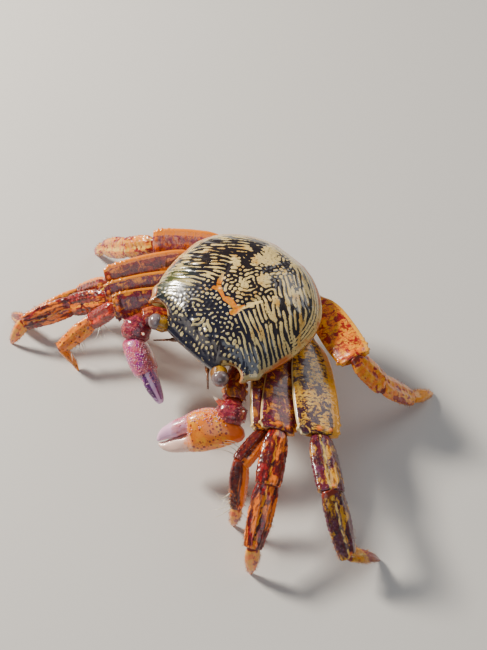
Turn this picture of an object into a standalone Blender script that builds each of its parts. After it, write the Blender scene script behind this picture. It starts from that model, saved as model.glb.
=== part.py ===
"""Shore crab of the genus Grapsus, a still, life-size model standing on its eight walking legs.

Frame: +Z is up, the crab faces -Y and its left side is +X.  All lengths are metres.  Body
proportions are given as fractions of the carapace width and are placed in the body's own frame,
which is tilted a little on the legs.  Leg directions are given in the standing frame.
"""
import math

import bmesh
import bpy
import numpy as np
from mathutils import Matrix, Vector

MM = 0.001

# ---- driving dimensions -------------------------------------------------------------------------
CARAPACE_WIDTH = 50.0 * MM      # nominal width that fractions refer to; the shell is 0.98 of it
BODY_HEIGHT = 32.0 * MM         # height of the edge of the carapace above the floor
BODY_PITCH = 4.0                # degrees, front end down
BODY_ROLL = 5.0                 # degrees, left side down
GAP = 0.42 * MM                 # clearance between neighbouring shell plates
FOOT_LIFT = 0.30 * MM           # centre of a leg tip above the floor, sets the size of its flat

# carapace, as fractions of its width
DOME_HEIGHT = 0.165
FRONT_Y, REAR_Y = -0.455, 0.455
CENTRE_Y = -0.02
FRONT_HALF = 0.20
ORBIT_DEPTH = 0.075
TOOTH_X, TOOTH_Y = 0.385, -0.405
WIDEST_Y, HALF_WIDTH = 0.03, 0.49
FLOOR_Z = -0.110

# walking legs 2 to 5: lengths of merus, carpus, propodus and dactyl (fractions of the width)
LEG_LENGTHS = {2: (0.465, 0.25, 0.28, 0.205), 3: (0.60, 0.31, 0.35, 0.245),
               4: (0.69, 0.35, 0.40, 0.275), 5: (0.545, 0.27, 0.33, 0.225)}
# greatest half widths of the same four plates, millimetres
LEG_WIDTHS = {2: (4.5, 2.8, 2.8, 1.7), 3: (5.7, 3.8, 3.6, 2.1),
              4: (6.8, 4.0, 3.8, 2.3), 5: (5.6, 3.6, 3.7, 2.2)}
LEG_HALF_THICKNESS = (1.65, 1.75, 1.55, 1.15)
# where each merus starts, body frame, and where its base leaves the sternum (y only)
HIPS = {("left", 2): (0.339, -0.154, -0.186), ("left", 3): (0.376, 0.029, -0.189),
        ("left", 4): (0.420, 0.173, -0.172), ("left", 5): (0.265, 0.407, -0.156),
        ("right", 2): (0.338, -0.151, -0.179), ("right", 3): (0.372, -0.014, -0.185),
        ("right", 4): (0.414, 0.143, -0.166), ("right", 5): (0.364, 0.324, -0.159)}
COXA_Y = {1: -0.19, 2: -0.09, 3: 0.02, 4: 0.13, 5: 0.23}

# stance of each leg, degrees: merus (heading, lift), carpus (heading, lift), heading of the
# propodus, height of its far end in millimetres, heading of the dactyl, roll of the broad faces.
# Headings are measured from straight out sideways, positive towards the rear.
STANCE = {
    ("left", 2): (-46, -1, -82, 5, -52, 10.3, -79, 31),
    ("left", 3): (-54, 4, -58, -11, -62, 12.0, -56, 18),
    ("left", 4): (-44, 1, -40, 4, -24, 9.4, 52, 17),
    ("left", 5): (-23, 5, 24, -45, 52, 5.8, 72, -10),
    ("right", 2): (-55, 1, -39, -46, -74, 9.0, 170, -47),
    ("right", 3): (-54, -5, -30, -30, -59, 10.4, -57, -53),
    ("right", 4): (-56, -6, -22, -44, -70, 7.4, 0, -52),
    ("right", 5): (-38, -2, -19, -32, -4, 8.9, -1, -56),
}

# claws: far ends of merus, carpus and finger tip, body frame, then the way the upper edge of
# the palm faces
CLAWS = {
    "left": ((0.395, -0.475, -0.135), (0.465, -0.585, -0.175), (0.205, -0.925, -0.305), (-0.5, 0.5, 0.7)),
    "right": ((-0.40, -0.47, -0.12), (-0.37, -0.60, -0.20), (0.00, -0.72, -0.40), (0.1, -0.2, 1.0)),
}
PALM_HALF_HEIGHT = 6.2 * MM
PALM_HALF_THICKNESS = 4.2 * MM
FINGER_START = 0.50             # fraction of the claw's length where the movable finger begins


# ---- frames -------------------------------------------------------------------------------------
def body_matrix():
    """Body frame (fractions of the carapace width) to the standing frame (metres)."""
    tilt = (Matrix.Rotation(math.radians(BODY_PITCH), 4, "X")
            @ Matrix.Rotation(math.radians(BODY_ROLL), 4, "Y"))
    return (Matrix.Translation((0.0, 0.0, BODY_HEIGHT)) @ tilt
            @ Matrix.Diagonal((CARAPACE_WIDTH,) * 3 + (1.0,)))


BODY = body_matrix()


def heading(side, turn, lift):
    """Unit vector for a heading from straight out sideways and a lift above level."""
    sign = 1.0 if side == "left" else -1.0
    a, e = math.radians(turn), math.radians(lift)
    return Vector((sign * math.cos(a) * math.cos(e), math.sin(a) * math.cos(e), math.sin(e)))


# ---- solids -------------------------------------------------------------------------------------
def finish(name, bm):
    bmesh.ops.remove_doubles(bm, verts=bm.verts, dist=1e-7)
    bmesh.ops.triangulate(bm, faces=bm.faces)
    bmesh.ops.recalc_face_normals(bm, faces=bm.faces)
    mesh = bpy.data.meshes.new(name)
    bm.to_mesh(mesh)
    bm.free()
    obj = bpy.data.objects.new(name, mesh)
    bpy.context.collection.objects.link(obj)
    return obj


def skin(rings):
    """Closed surface through a list of rings of equal length; a ring may be a single point."""
    bm = bmesh.new()
    rows = [[bm.verts.new(p) for p in ring] for ring in rings]
    for a, b in zip(rows, rows[1:]):
        n = max(len(a), len(b))
        for i in range(n):
            j = (i + 1) % n
            if len(a) == 1:
                bm.faces.new((a[0], b[i], b[j]))
            elif len(b) == 1:
                bm.faces.new((a[i], b[0], a[j]))
            else:
                bm.faces.new((a[i], b[i], b[j], a[j]))
    for row in (rows[0], rows[-1]):
        if len(row) > 2:
            bm.faces.new(row)
    return bm


def oval(centre, u, v, half_u, half_v, power, count):
    """Ring of a superellipse in the plane of u and v."""
    ring = []
    for i in range(count):
        t = 2.0 * math.pi * (i + 0.5) / count
        c, s = math.cos(t), math.sin(t)
        ring.append(centre + u * (half_u * math.copysign(abs(c) ** (2.0 / power), c))
                    + v * (half_v * math.copysign(abs(s) ** (2.0 / power), s)))
    return ring


def plate_frame(start, end, roll, hint=None):
    """Axis, broad direction and face direction of a limb plate."""
    axis = (end - start).normalized()
    up = Vector(hint) if hint else Vector((0.0, 0.0, 1.0))
    if abs(axis.dot(up.normalized())) > 0.97:
        up = Vector((0.0, -1.0, 0.3))
    wide = axis.cross(up).normalized()
    face = wide.cross(axis).normalized()
    turn = Matrix.Rotation(math.radians(roll), 3, axis)
    return axis, turn @ wide, turn @ face


def limb(start, end, profile, roll=0.0, hint=None, power=2.4, count=8, grow=0.0):
    """Plate along a straight axis.  Each profile row: position along the axis in metres from the
    start, half width, half thickness, offset in the width, offset in the thickness."""
    axis, wide, face = plate_frame(start, end, roll, hint)
    rings = []
    for k, (s, w, h, du, dv) in enumerate(profile):
        if grow:
            s += -grow if k == 0 else (grow if k == len(profile) - 1 else 0.0)
        centre = start + axis * s + wide * du + face * dv
        rings.append(oval(centre, wide, face, w + grow, h + grow, power, count))
    return skin(rings)


def keep_main_piece(bm):
    """Drop loose chips that a cut leaves beside a plate."""
    left, pieces = set(bm.verts), []
    while left:
        piece, open_ends = set(), [left.pop()]
        while open_ends:
            vert = open_ends.pop()
            piece.add(vert)
            for edge in vert.link_edges:
                other = edge.other_vert(vert)
                if other in left:
                    left.remove(other)
                    open_ends.append(other)
        pieces.append(piece)
    main_piece = max(pieces, key=len)
    chips = [v for piece in pieces if piece is not main_piece for v in piece]
    bmesh.ops.delete(bm, geom=chips, context="VERTS")


def subtract(target, cutter_bm):
    """Cut a grown copy of a neighbour out of a plate, so that a clearance is left."""
    cutter = finish("cutter", cutter_bm)
    mod = target.modifiers.new("cut", "BOOLEAN")
    mod.operation, mod.solver, mod.object = "DIFFERENCE", "EXACT", cutter
    graph = bpy.context.evaluated_depsgraph_get()
    fresh = bpy.data.meshes.new_from_object(target.evaluated_get(graph))
    target.modifiers.remove(mod)
    old, target.data = target.data, fresh
    bpy.data.meshes.remove(old)
    tool = cutter.data
    bpy.data.objects.remove(cutter)
    bpy.data.meshes.remove(tool)
    bm = bmesh.new()
    bm.from_mesh(fresh)
    keep_main_piece(bm)
    bmesh.ops.remove_doubles(bm, verts=bm.verts, dist=1e-7)
    bmesh.ops.triangulate(bm, faces=bm.faces)
    bm.to_mesh(fresh)
    bm.free()


# ---- body ---------------------------------------------------------------------------------------
def side_half_width(y):
    """Half width of the carapace behind the outer eye tooth."""
    if y < WIDEST_Y:
        return HALF_WIDTH - 0.11 * ((WIDEST_Y - y) / 0.43) ** 2.2
    fall = min(1.0, (y - WIDEST_Y) / 0.45)
    return HALF_WIDTH * (1.0 - fall ** 2.3) ** 0.62


def half_outline():
    """Left half of the carapace's edge in plan, from the middle of the front to the rear."""
    corner_y = FRONT_Y + 0.010
    points = [(f * FRONT_HALF, FRONT_Y + 0.010 * f * f) for f in (0.0, 0.34, 0.67, 1.0)]
    for f in (0.18, 0.5, 0.82):                       # the notch that holds the eye
        x = FRONT_HALF + f * (TOOTH_X - FRONT_HALF)
        y = corner_y + f * (TOOTH_Y - corner_y) + ORBIT_DEPTH * math.sin(math.pi * f) ** 0.7
        points.append((x, y))
    points += [(TOOTH_X, TOOTH_Y), (TOOTH_X + 0.018, TOOTH_Y + 0.045)]
    points += [(side_half_width(-0.31) + 0.012, -0.315), (side_half_width(-0.27) - 0.002, -0.27)]
    for y in (-0.18, -0.09, 0.0, 0.09, 0.18, 0.26, 0.33, 0.39, 0.43):
        points.append((side_half_width(y), y))
    points += [(0.12, REAR_Y), (0.0, REAR_Y)]
    return points


def edge_height(x, y):
    """Height of the carapace's edge: the front hangs down, the rear falls a little."""
    front = min(1.0, max(0.0, (-0.36 - y) / 0.09)) * min(1.0, max(0.0, (0.26 - abs(x)) / 0.06))
    rear = min(1.0, max(0.0, (y - 0.10) / 0.35))
    return -0.050 * front - 0.030 * rear


def smoothed(x, y):
    """The same edge point without notches and teeth, for the rings inside the edge."""
    if y > -0.26:
        return x, y
    return x, -0.46 * (1.0 - min(1.0, abs(x) / 0.5) ** 2.6) ** (1.0 / 2.6)


def carapace_rings():
    half = half_outline()
    edge = half + [(-x, y) for x, y in reversed(half[1:-1])]
    rings = [[Vector((0.0, CENTRE_Y, DOME_HEIGHT))]]
    for r in (0.24, 0.44, 0.62, 0.77, 0.89, 0.965, 1.0):
        rise = DOME_HEIGHT * (1.0 - r ** 2.3) ** 0.62 if r < 1.0 else 0.0
        ring = []
        for x, y in edge:
            even_x, even_y = smoothed(x, y)
            share = r ** 14
            px, py = even_x + (x - even_x) * share, even_y + (y - even_y) * share
            ring.append(Vector((px * r, CENTRE_Y + (py - CENTRE_Y) * r,
                                rise + edge_height(x, y) * r ** 5)))
        rings.append(ring)
    for scale, drop in ((0.975, 0.22), (0.82, 0.72), (0.62, 1.0)):
        rings.append([Vector((x * scale, CENTRE_Y + (y - CENTRE_Y) * scale,
                              edge_height(x, y) * (1.0 - drop) + FLOOR_Z * drop))
                      for x, y in edge])
    rings.append([Vector((0.0, CENTRE_Y, FLOOR_Z))])
    return rings


def place(rings):
    return [[BODY @ p for p in ring] for ring in rings]


def sternum_half_width(y):
    return 0.205 * (1.0 - abs((y - 0.02) / 0.31) ** 2.5) ** 0.4


def sternum_rings():
    rings = []
    for z, scale in ((-0.118, 0.84), (-0.165, 1.0), (-0.235, 0.97), (-0.272, 0.80)):
        rings.append([Vector((p.x * scale, 0.02 + (p.y - 0.02) * scale, z))
                      for p in oval(Vector((0.0, 0.02, 0.0)), Vector((1, 0, 0)),
                                    Vector((0, 1, 0)), 0.205, 0.31, 2.5, 20)])
    return rings


def abdomen_rings():
    """Narrow tail folded forward under the sternum, its root behind the carapace."""
    rows = ((-0.17, -0.295, 0.030, 0.010), (-0.10, -0.296, 0.050, 0.013), (0.10, -0.298, 0.085, 0.014),
            (0.24, -0.298, 0.105, 0.014), (0.33, -0.280, 0.115, 0.014), (0.375, -0.225, 0.125, 0.014),
            (0.398, -0.160, 0.135, 0.014), (0.410, -0.105, 0.140, 0.012))
    centres = [Vector((0.0, y, z)) for y, z, _, _ in rows]
    rings = []
    for k, (_, _, wide, thick) in enumerate(rows):
        along = (centres[min(k + 1, len(rows) - 1)] - centres[max(k - 1, 0)]).normalized()
        across = Vector((1.0, 0.0, 0.0))
        rings.append(oval(centres[k], across, across.cross(along), wide, thick, 3.0, 10))
    return rings


# ---- limbs --------------------------------------------------------------------------------------
def leg_joints(side, number):
    """Standing-frame points: hip, knee, carpus end, propodus end, tip."""
    sign = 1.0 if side == "left" else -1.0
    h1, l1, h2, l2, h3, ankle, h4, _ = STANCE[side, number]
    lengths = [f * CARAPACE_WIDTH for f in LEG_LENGTHS[number]]
    x, y, z = HIPS[side, number]
    points = [BODY @ Vector((sign * x, y, z))]
    points.append(points[-1] + heading(side, h1, l1) * lengths[0])
    points.append(points[-1] + heading(side, h2, l2) * lengths[1])
    for turn, level, length in ((h3, ankle * MM, lengths[2]), (h4, FOOT_LIFT, lengths[3])):
        drop = max(-0.999, min(0.999, (level - points[-1].z) / length))
        points.append(points[-1] + heading(side, turn, math.degrees(math.asin(drop))) * length)
    return points


def base_profile(length, wide, thick):
    return [(-0.5 * MM, wide * 0.62, thick * 0.62, 0, 0), (0.14 * length, wide, thick, 0, 0),
            (0.55 * length, wide * 1.06, thick * 1.04, 0, 0), (0.85 * length, wide, thick, 0, 0),
            (length - 0.2 * MM, wide * 0.8, thick * 0.8, 0, 0)]


def plate_profile(kind, length, wide, thick):
    """Outline of a leg plate; every plate starts with a neck that sits in its neighbour."""
    neck = min(1.7 * MM, 0.50 * wide), min(1.1 * MM, 0.43 * thick)
    if kind == "merus":
        return [(-0.9 * MM, neck[0], neck[1], 0, 0), (0.9 * MM, neck[0] * 1.25, neck[1] * 1.3, 0, 0),
                (0.14 * length, 0.66 * wide, 0.90 * thick, 0, 0), (0.36 * length, 0.94 * wide, thick, 0, 0),
                (0.62 * length, wide, thick, 0, 0), (0.88 * length, 0.95 * wide, 0.98 * thick, 0, 0),
                (length - 0.1 * MM, 0.80 * wide, 0.94 * thick, 0, 0)]
    if kind == "carpus":
        return [(-1.1 * MM, neck[0], neck[1], 0, 0), (0.8 * MM, 0.60 * wide, 0.72 * thick, 0, 0),
                (0.16 * length, 0.82 * wide, 0.92 * thick, 0, 0), (0.50 * length, wide, thick, 0, 0),
                (0.86 * length, 0.98 * wide, thick, 0, 0),
                (length - 0.1 * MM, 0.84 * wide, 0.92 * thick, 0, 0)]
    if kind == "propodus":
        return [(-0.9 * MM, neck[0], neck[1], 0, 0), (0.8 * MM, 0.66 * wide, 0.76 * thick, 0, 0),
                (0.14 * length, 0.90 * wide, 0.96 * thick, 0, 0), (0.42 * length, wide, thick, 0, 0),
                (0.80 * length, 0.86 * wide, 0.95 * thick, 0, 0),
                (length - 0.1 * MM, 0.68 * wide, 0.9 * thick, 0, 0)]
    bow = 0.06 * length
    return [(-0.8 * MM, neck[0] * 0.8, neck[1] * 0.8, 0, 0),
            (0.8 * MM, 0.92 * wide, 0.95 * thick, 0, 0.3 * bow),
            (0.30 * length, wide, thick, 0, 0.8 * bow), (0.62 * length, 0.72 * wide, 0.80 * thick, 0, bow),
            (0.88 * length, 0.42 * wide, 0.52 * thick, 0, 0.5 * bow), (length, 0.45 * MM, 0.40 * MM, 0, 0)]


def flatten_tip(obj):
    """Trim the tip of a dactyl level with the floor, which leaves a small flat."""
    bm = bmesh.new()
    bm.from_mesh(obj.data)
    bmesh.ops.bisect_plane(bm, geom=bm.verts[:] + bm.edges[:] + bm.faces[:], dist=1e-7,
                           plane_co=(0, 0, 0), plane_no=(0, 0, -1), clear_outer=True)
    bmesh.ops.holes_fill(bm, edges=[e for e in bm.edges if e.is_boundary])
    bmesh.ops.triangulate(bm, faces=bm.faces)
    bmesh.ops.recalc_face_normals(bm, faces=bm.faces)
    bm.to_mesh(obj.data)
    bm.free()


PLATES = ("merus", "carpus", "propodus", "dactyl")


def leg_specs(side, number):
    """Arguments of limb() for the base and the four plates of one leg."""
    sign = 1.0 if side == "left" else -1.0
    points = leg_joints(side, number)
    roll = STANCE[side, number][7] * (-1.0 if side == "left" else 1.0)
    y = COXA_Y[number]
    root = BODY @ Vector((sign * (sternum_half_width(y) + 0.006), y, -0.195))
    size = (2.35 if number < 5 else 2.1) * MM
    specs = [dict(start=root, end=points[0], power=2.2,
                  profile=base_profile((points[0] - root).length, size, size))]
    for k, kind in enumerate(PLATES):
        wide, thick = LEG_WIDTHS[number][k] * MM, LEG_HALF_THICKNESS[k] * MM
        length = (points[k + 1] - points[k]).length
        specs.append(dict(start=points[k], end=points[k + 1], roll=roll,
                          profile=plate_profile(kind, length, wide, thick)))
    return specs


def build_leg(side, number, sternum):
    specs = leg_specs(side, number)
    names = ["leg%d_%s_%s" % (number, kind, side) for kind in ("base",) + PLATES]
    plates = [finish(name, limb(**spec)) for name, spec in zip(names, specs)]
    subtract(sternum, limb(grow=GAP, **specs[0]))
    for plate, following in zip(plates, specs[1:]):
        subtract(plate, limb(grow=GAP, **following))
    flatten_tip(plates[-1])
    return plates


def claw_profile(part, length, grow_end=0.0):
    height, thick = PALM_HALF_HEIGHT, PALM_HALF_THICKNESS
    split = FINGER_START * length
    if part == "palm":                                 # widths run along the palm's height
        return [(-1.0 * MM, 1.7 * MM, 1.6 * MM, 0, 0), (1.0 * MM, 2.6 * MM, 2.2 * MM, 0, 0),
                (0.14 * length, 0.80 * height, 0.80 * thick, 0, 0), (0.32 * length, height, thick, 0, 0),
                (split, 0.92 * height, 0.90 * thick, 0, 0),
                (split + 1.6 * MM, 0.50 * height, 0.70 * thick, 0.40 * height, 0),
                (0.80 * length, 0.36 * height, 0.52 * thick, 0.36 * height, 0),
                (0.95 * length, 0.24 * height, 0.36 * thick, 0.25 * height, 0),
                (length, 0.12 * height, 0.20 * thick, 0.14 * height, 0)]
    return [(split - 1.4 * MM, 0.16 * height, 0.34 * thick, -0.44 * height, 0),
            (split + 0.6 * MM, 0.40 * height, 0.60 * thick, -0.50 * height, 0),
            (0.68 * length, 0.40 * height, 0.60 * thick, -0.44 * height, 0),
            (0.84 * length, 0.32 * height, 0.46 * thick, -0.36 * height, 0),
            (0.95 * length, 0.22 * height, 0.34 * thick, -0.25 * height, 0),
            (length, 0.11 * height, 0.20 * thick, -0.14 * height, 0)]


def build_claw(side, sternum):
    sign = 1.0 if side == "left" else -1.0
    elbow, wrist, tip = [BODY @ Vector(p) for p in CLAWS[side][:3]]
    hint = CLAWS[side][3]
    y = COXA_Y[1]
    root = BODY @ Vector((sign * (sternum_half_width(y) + 0.006), y, -0.195))
    length = (elbow - root).length
    merus = dict(start=root, end=elbow, power=2.2, profile=[
        (-0.5 * MM, 1.7 * MM, 1.7 * MM, 0, 0), (2.0 * MM, 2.5 * MM, 2.5 * MM, 0, 0),
        (0.32 * length, 2.6 * MM, 2.5 * MM, 0, 0), (0.62 * length, 3.2 * MM, 2.8 * MM, 0, 0),
        (0.88 * length, 3.5 * MM, 3.0 * MM, 0, 0), (length - 0.1 * MM, 2.9 * MM, 2.6 * MM, 0, 0)])
    length = (wrist - elbow).length
    carpus = dict(start=elbow, end=wrist, power=2.2, profile=[
        (-1.0 * MM, 1.5 * MM, 1.4 * MM, 0, 0), (0.9 * MM, 2.9 * MM, 2.8 * MM, 0, 0),
        (0.35 * length, 4.4 * MM, 4.2 * MM, 0, 0), (0.70 * length, 4.6 * MM, 4.3 * MM, 0, 0),
        (length - 0.1 * MM, 3.4 * MM, 3.2 * MM, 0, 0)])
    length = (tip - wrist).length
    turned = dict(start=wrist, end=tip, roll=90.0, hint=hint, power=2.3, count=10)
    palm = dict(turned, profile=claw_profile("palm", length))
    finger = dict(turned, profile=claw_profile("finger", length))
    specs = (merus, carpus, palm, finger)
    names = ["claw_%s_%s" % (kind, side) for kind in ("merus", "carpus", "palm", "finger")]
    plates = [finish(name, limb(**spec)) for name, spec in zip(names, specs)]
    subtract(sternum, limb(grow=GAP, **merus))
    for plate, following in zip(plates, specs[1:]):
        subtract(plate, limb(grow=GAP, **following))
    return plates


# ---- head ---------------------------------------------------------------------------------------
def ball(centre, axis, radius, long_radius, grow=0.0, count=12, rows=6):
    """Egg-shaped solid with its long radius along the axis."""
    u = axis.orthogonal().normalized()
    v = axis.cross(u).normalized()
    rings = []
    for k in range(rows + 1):
        t = math.pi * k / rows
        at = centre + axis * (math.cos(t) * (long_radius + grow))
        r = math.sin(t) * (radius + grow)
        rings.append([at] if k in (0, rows) else oval(at, u, v, r, r, 2.0, count))
    return skin(rings)


def build_head(carapace):
    made = []
    for side, sign in (("left", 1.0), ("right", -1.0)):
        def at(x, y, z, sign=sign):
            return BODY @ Vector((sign * x, y, z))
        inner, outer = at(0.205, -0.415, -0.060), at(0.243, -0.442, -0.040)
        axis = (outer - inner).normalized()
        length = (outer - inner).length
        stalk = dict(start=inner, end=outer, power=2.1, profile=[
            (0.0, 1.3 * MM, 1.2 * MM, 0, 0), (0.35 * length, 1.5 * MM, 1.45 * MM, 0, 0),
            (0.75 * length, 2.1 * MM, 2.0 * MM, 0, 0), (length + 1.2 * MM, 2.0 * MM, 1.9 * MM, 0, 0)])
        cornea = dict(centre=outer + axis * 2.0 * MM, axis=axis, radius=2.3 * MM, long_radius=2.2 * MM)
        stem = finish("eye_stalk_" + side, limb(**stalk))
        subtract(stem, ball(grow=GAP, **cornea))
        eye = finish("eye_" + side, ball(**cornea))
        subtract(carapace, limb(grow=GAP, **stalk))
        subtract(carapace, ball(grow=GAP, **cornea))
        root, tip = at(0.125, -0.425, -0.115), at(0.235, -0.530, -0.125)
        length = (tip - root).length
        whisker = limb(root, tip, [(0.0, 0.8 * MM, 0.7 * MM, 0, 0),
                                   (0.25 * length, 0.65 * MM, 0.6 * MM, 0, 0),
                                   (0.35 * length, 0.42 * MM, 0.40 * MM, 0, 0),
                                   (length, 0.27 * MM, 0.27 * MM, 0, 0)], power=2.0, count=6)
        antenna = finish("antenna_" + side, whisker)
        foot, head = at(0.085, -0.315, -0.262), at(0.085, -0.415, -0.140)
        length = (head - foot).length
        jaw = limb(foot, head, [(0.0, 2.6 * MM, 0.8 * MM, 0, 0), (0.3 * length, 3.4 * MM, 1.1 * MM, 0, 0),
                                (0.8 * length, 3.5 * MM, 1.1 * MM, 0, 0),
                                (length, 2.8 * MM, 0.8 * MM, 0, 0)],
                   power=3.0)
        made += [stem, eye, antenna, finish("maxilliped_" + side, jaw)]
    return made


def stand_on_origin(objects):
    """Move the whole model so that the bottom centre of its box is the origin."""
    corners = np.array([v.co for o in objects for v in o.data.vertices])
    low, high = corners.min(axis=0), corners.max(axis=0)
    shift = Matrix.Translation((-(low[0] + high[0]) / 2.0, -(low[1] + high[1]) / 2.0, -low[2]))
    for obj in objects:
        obj.data.transform(shift)


def main():
    for obj in list(bpy.data.objects):
        bpy.data.objects.remove(obj)
    carapace = finish("carapace", skin(place(carapace_rings())))
    sternum = finish("sternum", skin(place(sternum_rings())))
    abdomen = finish("abdomen", skin(place(abdomen_rings())))
    made = [carapace, sternum, abdomen]
    made += build_head(carapace)
    for side in ("left", "right"):
        made += build_claw(side, sternum)
        for number in (2, 3, 4, 5):
            made += build_leg(side, number, sternum)
    stand_on_origin(made)


main()
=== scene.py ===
"""Shore crab of the genus Grapsus, still and life-size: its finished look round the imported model.

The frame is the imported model's: +Z is up, the crab faces -Y and its left side is +X.  Lengths are
metres.  Body positions are fractions of the carapace width in the body's own frame, which is
tilted a little on the legs.
"""
from __future__ import annotations

import logging
import math
from dataclasses import dataclass, field, replace
from enum import Enum
from typing import Callable, Optional, Sequence, Union

import bpy
import numpy as np
from mathutils import Matrix, Vector

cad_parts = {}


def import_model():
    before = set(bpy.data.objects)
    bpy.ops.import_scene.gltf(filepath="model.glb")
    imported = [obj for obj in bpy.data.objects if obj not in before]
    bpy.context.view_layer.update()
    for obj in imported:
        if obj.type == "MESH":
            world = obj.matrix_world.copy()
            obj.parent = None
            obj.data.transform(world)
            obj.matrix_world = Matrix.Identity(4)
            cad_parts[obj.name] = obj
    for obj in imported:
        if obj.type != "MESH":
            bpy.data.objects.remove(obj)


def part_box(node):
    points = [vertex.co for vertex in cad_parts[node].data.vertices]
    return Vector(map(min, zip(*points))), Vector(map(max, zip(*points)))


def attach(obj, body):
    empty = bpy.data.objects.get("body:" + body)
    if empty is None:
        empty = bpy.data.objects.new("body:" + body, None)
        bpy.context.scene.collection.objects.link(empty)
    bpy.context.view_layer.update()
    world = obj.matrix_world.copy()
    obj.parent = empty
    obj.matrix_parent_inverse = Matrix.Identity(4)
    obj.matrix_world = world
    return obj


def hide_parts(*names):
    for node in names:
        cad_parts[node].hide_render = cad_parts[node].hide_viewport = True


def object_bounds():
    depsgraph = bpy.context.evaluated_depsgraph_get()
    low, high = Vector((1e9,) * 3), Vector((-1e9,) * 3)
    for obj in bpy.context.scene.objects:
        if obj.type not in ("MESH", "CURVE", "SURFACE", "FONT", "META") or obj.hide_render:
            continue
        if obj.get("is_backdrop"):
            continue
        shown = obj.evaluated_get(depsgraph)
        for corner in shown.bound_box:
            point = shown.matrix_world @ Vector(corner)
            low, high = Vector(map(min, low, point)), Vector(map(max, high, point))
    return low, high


LOG = logging.getLogger("crab")
MM = 0.001
Array = np.ndarray
Colour = tuple[float, float, float]
Value = Union[float, bpy.types.NodeSocket]

# ---- driving dimensions, as in the part ---------------------------------------------------------
CARAPACE_WIDTH = 50.0 * MM
BODY_HEIGHT = 32.0 * MM
BODY_PITCH, BODY_ROLL = 4.0, 5.0
FOOT_LIFT = 0.30 * MM
DOME_HEIGHT = 0.165
FRONT_Y, REAR_Y, CENTRE_Y = -0.455, 0.455, -0.02
FRONT_HALF, ORBIT_DEPTH = 0.20, 0.075
TOOTH_X, TOOTH_Y = 0.385, -0.405
WIDEST_Y, HALF_WIDTH = 0.03, 0.49
RIM_HALF_LENGTH, RIM_POWER = 0.465, 2.6
FLOOR_Z = -0.110
PALM_HALF_HEIGHT, PALM_HALF_THICKNESS = 6.2 * MM, 4.2 * MM
FINGER_START = 0.50
LEG_LENGTHS = {2: (0.465, 0.25, 0.28, 0.205), 3: (0.60, 0.31, 0.35, 0.245),
               4: (0.69, 0.35, 0.40, 0.275), 5: (0.545, 0.27, 0.33, 0.225)}
LEG_WIDTHS = {2: (4.5, 2.8, 2.8, 1.7), 3: (5.7, 3.8, 3.6, 2.1),
              4: (6.8, 4.0, 3.8, 2.3), 5: (5.6, 3.6, 3.7, 2.2)}
LEG_HALF_THICKNESS = (1.65, 1.75, 1.55, 1.15)
COXA_Y = {1: -0.19, 2: -0.09, 3: 0.02, 4: 0.13, 5: 0.23}
COXA_OUT, COXA_Z = 0.006, -0.195
EYE_ROOT, EYE_END = (0.205, -0.415, -0.060), (0.243, -0.442, -0.040)
CORNEA_OUT = 2.0 * MM
SHELL_IOR, BUMP_DEPTH = 1.52, 0.25 * MM
STERNUM_Y, STERNUM_HALF_WIDTH, STERNUM_HALF_LENGTH = 0.02, 0.205, 0.31


class Side(Enum):
    """Side of the animal."""

    LEFT = "left"
    RIGHT = "right"

    @property
    def sign(self) -> float:
        """+1 on the animal's left, which is +X."""
        return 1.0 if self is Side.LEFT else -1.0


class Plate(Enum):
    """Plates of a walking leg, from the body outwards."""

    MERUS = "merus"
    CARPUS = "carpus"
    PROPODUS = "propodus"
    DACTYL = "dactyl"


STANCE = {
    (Side.LEFT, 2): (-46, -1, -82, 5, -52, 10.3, -79, 31),
    (Side.LEFT, 3): (-54, 4, -58, -11, -62, 12.0, -56, 18),
    (Side.LEFT, 4): (-44, 1, -40, 4, -24, 9.4, 52, 17),
    (Side.LEFT, 5): (-23, 5, 24, -45, 52, 5.8, 72, -10),
    (Side.RIGHT, 2): (-55, 1, -39, -46, -74, 9.0, 170, -47),
    (Side.RIGHT, 3): (-54, -5, -30, -30, -59, 10.4, -57, -53),
    (Side.RIGHT, 4): (-56, -6, -22, -44, -70, 7.4, 0, -52),
    (Side.RIGHT, 5): (-38, -2, -19, -32, -4, 8.9, -1, -56),
}
HIPS = {
    (Side.LEFT, 2): (0.339, -0.154, -0.186), (Side.LEFT, 3): (0.376, 0.029, -0.189),
    (Side.LEFT, 4): (0.420, 0.173, -0.172), (Side.LEFT, 5): (0.265, 0.407, -0.156),
    (Side.RIGHT, 2): (0.338, -0.151, -0.179), (Side.RIGHT, 3): (0.372, -0.014, -0.185),
    (Side.RIGHT, 4): (0.414, 0.143, -0.166), (Side.RIGHT, 5): (0.364, 0.324, -0.159),
}
CLAWS = {
    Side.LEFT: ((0.395, -0.475, -0.135), (0.465, -0.585, -0.175), (0.205, -0.925, -0.305),
                (-0.5, 0.5, 0.7)),
    Side.RIGHT: ((-0.40, -0.47, -0.12), (-0.37, -0.60, -0.20), (0.00, -0.72, -0.40),
                 (0.1, -0.2, 1.0)),
}


# ---- small mathematics --------------------------------------------------------------------------
def ramp(low: Union[float, Array], high: Union[float, Array], value: Array) -> Array:
    """Smooth rise from 0 at low to 1 at high."""
    t = np.clip((np.asarray(value, float) - low) / (high - low), 0.0, 1.0)
    return t * t * (3.0 - 2.0 * t)


def bell(distance: Array, width: float = 1.0) -> Array:
    """Bell curve that is 1 at no distance and fades over the width."""
    return np.exp(-(np.asarray(distance, float) / width) ** 2)


def signed_power(value: Array, power: float) -> Array:
    """Power of the size of a value, with its sign kept."""
    return np.sign(value) * np.abs(value) ** power


def rounded_ring(columns: int, power: float) -> tuple[Array, Array]:
    """Ring from -1 to 1 both ways: an ellipse at power 2, squarer above it."""
    turn = 2.0 * math.pi * (np.arange(columns) + 0.5) / columns
    return signed_power(np.cos(turn), 2.0 / power), signed_power(np.sin(turn), 2.0 / power)


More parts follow.
